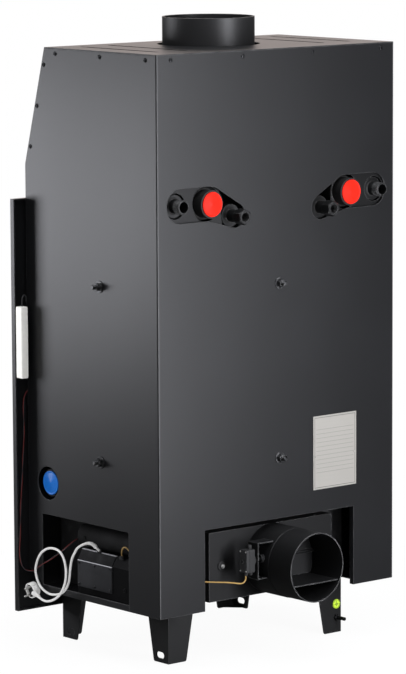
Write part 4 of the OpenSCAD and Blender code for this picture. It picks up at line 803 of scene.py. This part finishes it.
# Cover plates behind the upper cut-outs: coated sheet close to the back panel, with round holes for
# the nipple and the supply socket. They close the gap to the boiler on both sides.
def holed_sheet(shape, outline, holes, thick, place):
    """A flat sheet with round holes, each given by its middle and radius."""
    loops = [outline] + [[(x + radius * cos(t), y + radius * sin(t)) for t in round_turn(48)]
                         for x, y, radius in holes]
    flat = [[Vector((x, y, 0)) for x, y in loop] for loop in loops]
    decks = [[shape.mesh.verts.new(place @ Vector((x, y, z))) for loop in loops for x, y in loop]
             for z in (0, thick)]
    for corners in tessellate_polygon(flat):
        for deck in decks:
            shape.mesh.faces.new([deck[k] for k in corners])
    start = 0
    for loop in loops:
        for k in range(len(loop)):
            a, b = start + k, start + (k + 1) % len(loop)
            shape.mesh.faces.new((decks[0][a], decks[0][b], decks[1][b], decks[1][a]))
        start += len(loop)


cover_depth, cover_thick, nipple_hole, supply_hole = 8, 1.5, 27.5, 38
half_outline = [(322, 819), (322, 915), (163, 915), (152, 819)]
cover_place = facing(0, cover_depth, supply_h, "Y") @ Matrix.Scale(-1, 4, (0, 1, 0))
cover = Shape()
for side in (1, -1):
    holed_sheet(cover, [(side * x, h - supply_h) for x, h in half_outline],
                [(side * nipple_x, 0, nipple_hole), (side * supply_x, 0, supply_hole)],
                cover_thick, cover_place)
cover_coat = coat("cover_coat", (0.003, 0.0031, 0.0034), 0.47, specular=0.3, edge=0.0012, wear_and_highlight=0.5)
cover.piece("cut_out_covers", "casing_black", cover_coat)

# Air box entry: a black rubber grommet in the air box's rear face with a bright bolt through it,
# pressed in by hand and a little proud of the sheet.
entry = facing(141.7, 27, 85.4, "Y")
grommet = Shape()
grommet.lathe([(3.2, -2), (6.5, -2), (6.5, 0.1), (9.2, 0.1), (10.2, 0.9), (10.2, 1.8), (9, 2.9), (6, 3.4),
                  (4.4, 3.2), (3.2, 2.2)], entry, sides=48)
rubber = plastic("rubber", (0.012, 0.012, 0.012), 0.6, grain=500, relief=0.0001, specular=0.3)
grommet.piece("air_box_grommet", "motor_black", rubber)
entry_bolt = Shape()
entry_bolt.lathe([(0, -2), (2.9, -2), (2.9, 3), (2.5, 3), (4.6, 3.2), (5.2, 3.6), (5.2, 6.6), (4.6, 7.2),
                  (2.6, 7.2), (2.6, 9.4), (2.1, 9.9), (0, 9.9)], entry, sides=48, hexes=(4.4, 4, 99))
entry_bolt.piece("air_box_bolt", "zinc", zinc.material)

# Damper motor: a moulded housing in two halves with a seam, cover screws, an adjusting knob and two
# cable glands. It sits on a seat in front of its bracket, and the blade's shaft runs through it.
def box_ring(half_y, half_z, x, power=14, count=72):
    """A ring of points round a box with softened corners, at x along the box."""
    return [(x, half_y * copysign(abs(cos(t)) ** (2 / power), cos(t)),
             half_z * copysign(abs(sin(t)) ** (2 / power), sin(t)))
            for t in round_turn(count, 0.5)]


motor_x, motor_d, motor_h, half_deep, half_high = 102, -27, 101, 12, 25
motor = Shape()
shell = [(1.8, 0), (0.7, 0.3), (0.1, 1.2), (0, 2.4), (0, 15), (0.6, 15.2), (0.6, 15.7), (0, 15.9),
         (0, 21.6), (0.15, 22.8), (0.8, 23.7), (1.8, 24)]
bore = [[(x, 4.6 * cos(t), 4.6 * sin(t)) for t in round_turn(72, 0.5)] for x in (24, 0)]
motor.rings([box_ring(half_deep - inset, half_high - inset, x) for inset, x in shell] + bore,
            at(motor_x, motor_d, motor_h), closed=True)
motor.lathe([(4.8, 0), (10.6, 0), (11, 0.4), (11, 4.2), (4.8, 4.2)], facing(98, motor_d, motor_h, "X"),
            sides=48)
motor.lathe([(0, -1), (5, -1), (5, 0.4), (4.5, 0.8), (4.9, 1.6), (4.9, 7.8), (4.3, 8.7), (1.5, 9),
             (1.2, 8.2), (0, 8.2)], at(108, motor_d, motor_h + half_high), sides=32)
for x in (107.5, 120.5):
    motor.lathe([(1.7, 0.2), (2.9, 0), (3.7, 0.8), (4, 1.6), (4, 4.4), (3.5, 4.8), (3.5, 7), (1.7, 7)],
                at(x, -30, 70), sides=32)
motor.piece("damper_motor", "motor_black", dark_plastic, "actuator")
small_head = Shape()
small_head.lathe([(0, -0.4), (1.9, -0.4), (1.9, 0.3), (1.5, 0.9), (0.95, 1.1), (0.8, 0.5), (0, 0.5)],
                 sides=24)
repeated("motor_screws", small_head,
         [facing(motor_x + 24, motor_d + y, motor_h + z, "X") for y in (-8.6, 8.6) for z in (-21, 21)],
         "zinc", zinc.material, seed=3)

# Control box lid: thin painted sheet folded over the box's slope and down its face, held by six small
# screws. Its folds are painted bright, partly rubbed wear and partly painted highlights, and its face is
# painted lighter than its slope, painted light and shade on one sheet.
lid_coat = Look("lid_coat", Specular_IOR_Level=0.3)
upper_fold, lower_fold = 0.2266, 0.2036
# bright lines along both folds: painted highlights, partly rubbed wear
fold_highlight = abs(lid_coat.z - upper_fold).least(abs(lid_coat.z - lower_fold)).step(0.0007, 0.0013, 1, 0)
# the face below the lower fold is painted lighter than the slope above it: painted light and shade
slope_shade = (lid_coat.z - 0.215).step(-0.011, -0.0105) * 0.8
lid_coat.done(lid_coat.noise(520), 0.00006, 0.0009, tone=lid_coat.mix(
    fold_highlight, lid_coat.mix(slope_shade, (0.016, 0.0165, 0.0185), (0.002, 0.002, 0.002)), (0.38, 0.38, 0.4)),
    gloss=lid_coat.noise(40).between(0.46, 0.6) + slope_shade * 0.3)
lid = Shape()
fold = [(298, 104.05), (298, 104.85), (302.3, 104.85), (302.9, 104.3), (315.6, 82.2), (316.1, 80.8),
        (316.1, 24.4), (315.9, 23.9), (315.55, 23.9), (315.55, 80.9), (302.1, 104.05)]
lid_start, lid_length = 183, 117
lid.prism(fold, 0, lid_length, facing(0, lid_start, 0, "-Y"), soft=0.12)
lid.piece("control_lid", "box_black", lid_coat.material)
lid_head = Shape()
lid_head.lathe([(0, -0.4), (2.9, -0.4), (2.9, 0.4), (2.3, 1.2), (1.3, 1.5), (1.1, 0.7), (0, 0.7)], sides=24)
repeated("lid_screws", lid_head, [facing(316.1, d, h, "X") for d in (189, 241.5, 294) for h in (30, 76)],
         "screw_black", screw_black, seed=8)

# Door seal: glass-fibre rope glued into the door's groove, a flattened core under two rows of slanted
# stitches that Geometry Nodes repeats along it.
groove_x, groove_top, groove_foot, groove_bend = 208, 718, 152, 8


def seal_line(step):
    """Points in mm along the groove's middle, with rounded corners, each with its angle."""
    spots = []
    corners = [(groove_x, groove_top), (-groove_x, groove_top), (-groove_x, groove_foot),
               (groove_x, groove_foot)]
    for corner, (x, h) in enumerate(corners):
        for k in range(7):
            t = pi / 2 * (corner + k / 6)
            spots.append(Vector((x + groove_bend * cos(t), h + groove_bend * sin(t))))
    line, left = [], 0.0
    for a, b in zip(spots, spots[1:] + spots[:1]):
        run = b - a
        while left < run.length:
            spot = a + run.normalized() * left
            line.append((spot, atan2(run.y, run.x)))
            left += step
        left -= run.length
    return line


half_rope, half_flat, rope_depth, stitch_pitch, lean = 4.2, 2.3, 465.2, 2.9, 0.95
core = Shape()
core.rings([[Vector((x - half_rope * cos(t) * sin(angle), -half_flat * sin(t),
                     h + half_rope * cos(t) * cos(angle)))
             for t in round_turn(12)] for (x, h), angle in seal_line(9)],
           at(0, rope_depth, 0), closed=True)
stitch = Shape()
stitch.rings([[(0.95 * sin(s) * cos(t), 0.55 * sin(s) * sin(t), -2.1 * cos(s)) for t in round_turn(7)]
              for s in (0.25, 0.8, pi / 2, pi - 0.8, pi - 0.25)], millimetres)
stitch_places = []
for (x, h), angle in seal_line(stitch_pitch):
    for side in (-1, 1):
        for depth in (462.95, 467.4):
            slant = angle + pi / 2 - side * lean
            base = at(x - side * 2 * sin(angle), depth, h + side * 2 * cos(angle))
            along = Vector((cos(slant), 0, sin(slant))).to_track_quat("Z", "Y")
            stitch_places.append(base @ along.to_matrix().to_4x4())
fibre = Look("glass_fibre_rope", Specular_IOR_Level=0.2)
fluff = fibre.noise(300, 4)
fibre.done(fluff, 0.0003,
           tone=fibre.mix(fibre.noise(9, 3).step(0.35, 0.7), (0.2, 0.19, 0.17), (0.32, 0.31, 0.28)),
           gloss=fluff.between(0.85, 1))
repeated("seal_stitches", stitch, stitch_places, "rope", fibre.material, body="door", spin=0.0,
         uneven=0.2, seed=11)
core.piece("seal_rope", "rope", fibre.material, "door_seal", body="door")

# Glass clips: pressed steel straps that hold the pane in the door's rebate, each bent over the glass
# and fixed with a round screw.
clips = Shape()
for x in (-120, 0, 120):
    for h, way in ((712, -1), (158, 1)):
        place = facing(x, 470, h, "Y")
        clips.block((-15, -6, 0), (15, 6, 1.2), place, soft=0.35)
        clips.block((-11, -4.5, 1.1), (11, 4.5, 1.9), place, soft=0.35)
        clips.block((-15, way * 5 - 1, 1.1), (15, way * 5 + 1, 2.2), place, soft=0.35)
        clips.lathe([(0, 1.8), (3.4, 1.8), (3.4, 2.3), (2.6, 2.9), (1, 3), (0.9, 2.4), (0, 2.4)], place,
                    sides=24)
clips.piece("glass_clip_set", "steel_clip", zinc.material, "glass_clips", body="door")

# Door lever: a forged arm on a turned hub, a rod for the grip and the flat latch finger behind the
# door, all painted. The grip is turned beech with a ring at each end.
pivot_x, pivot_h = 238, 435
turn = Matrix.Rotation(pi / 3, 4, "Y")
rod = at(pivot_x, 508, pivot_h) @ turn
lever = Shape()
lever.lathe([(0, 0), (5, 0), (5, 38), (0, 38)], facing(pivot_x, 465, pivot_h, "-Y"), sides=32)
lever.lathe([(0, 0), (9, 0), (9, 7.6), (8.6, 8), (0, 8)], facing(pivot_x, 465, pivot_h, "-Y"), sides=40)
lever.lathe([(0, 0), (13.2, 0), (14, 0.8), (14, 4), (13, 5), (10.6, 5.6), (10, 8.8), (9, 9.6), (0, 9.8)],
            facing(pivot_x, 492.5, pivot_h, "-Y"), sides=56)
lever.block((0, -4, -6), (34, 4, 6), at(pivot_x, 469, pivot_h) @ turn, soft=0.9)
lever.block((-6, -4, -46), (6, 4, 3), at(pivot_x, 505, pivot_h) @ turn, soft=2.2, segments=4)
lever.block((-6, -4, -46), (6, 4, -31), at(pivot_x, 508.5, pivot_h) @ turn, soft=1.6, segments=3)
lever.lathe([(0, -132), (3.4, -132), (4.8, -131.4), (5, -130.4), (5, -32), (0, -32)], rod, sides=32)
lever.piece("door_lever", "door_black", door_coat, "door_handle", body="handle")
wood = Look("beech_grip", Coat_Weight=0.25, Coat_Roughness=0.3)
growth = wood.noise(70, 4, (0.4, 0.4, 1))
wood.done(growth, 0.00015, 0.0004, tone=wood.mix(growth, (0.24, 0.1, 0.035), (0.45, 0.22, 0.09)),
          gloss=growth.between(0.38, 0.55))
finish(wood.material, "handle_grip")
grip = Shape()
grip.lathe([(5, -46), (8.8, -46), (9.6, -46.8), (9.6, -49), (8.6, -50), (8.9, -51.5), (10.8, -60),
            (11.8, -74), (12, -88), (11.6, -102), (10.2, -116), (9, -123), (8.6, -125), (9.6, -126.4),
            (9.8, -128.6), (9, -129.8), (5, -130)], rod, sides=64)
grip.piece("beech_grip", "grip_wood", wood.material, "handle_grip", body="handle")

# Display housing: a white moulded box on the front plate's fold, with rounded edges and a seam
# between its halves.
white_housing = plastic("white_housing", (0.93, 0.92, 0.86), 0.4, soil=0.06)
finish(white_housing, "display_housing")
case = Shape()
halves = [(2.2, 0), (0.9, 0.3), (0.2, 1.2), (0, 2.6), (0, 11.2), (0.5, 11.4), (0.5, 11.9), (0, 12.1),
          (0, 18.6), (0.2, 19.9), (0.9, 20.7), (2.2, 21)]
case_x, case_d, case_h, half_thick, half_wide, half_tall = 353.25, 439.5, 544, 9.25, 10.5, 78
case.rings([[(x, y, z) for y, x, z in box_ring(half_thick - inset, half_tall - inset, y - half_wide, 20)]
            for inset, y in halves], at(case_x, case_d, case_h))
case.piece("display_case", "housing_white", white_housing, "display_housing")

# Air slider: a punched steel plate that runs between its rails on the front plate, with five slots,
# rounded edges and a turned knob riveted to one end.
slider_h, half_long, half_tall, slot_high, thick = 803.5, 129.8, 14.9, 6, 2.8
first_slot, slot_wide, slot_pitch = -103, 14, 46
slider_place = at(0, 464.93, slider_h)
slider = Shape()
for low, high in ((-half_tall, -slot_high), (slot_high, half_tall)):
    slider.block((-half_long, 0, low), (half_long, thick, high), slider_place)
for k in range(6):
    left = first_slot + slot_wide + slot_pitch * (k - 1) if k else -half_long
    right = first_slot + slot_pitch * k if k < 5 else half_long
    slider.block((left, 0, -slot_high), (right, thick, slot_high), slider_place)
slider.lathe([(0, 0), (3.4, 0), (3.2, 7), (3.6, 8.6), (5.4, 10.6), (6, 13), (5.9, 16), (5.2, 17.8),
              (3, 18.4), (0, 18.5)], facing(122, 464.5, slider_h, "-Y"), sides=40)
slider.piece("slider_plate", "door_black", door_coat, "air_slider", body="slider")
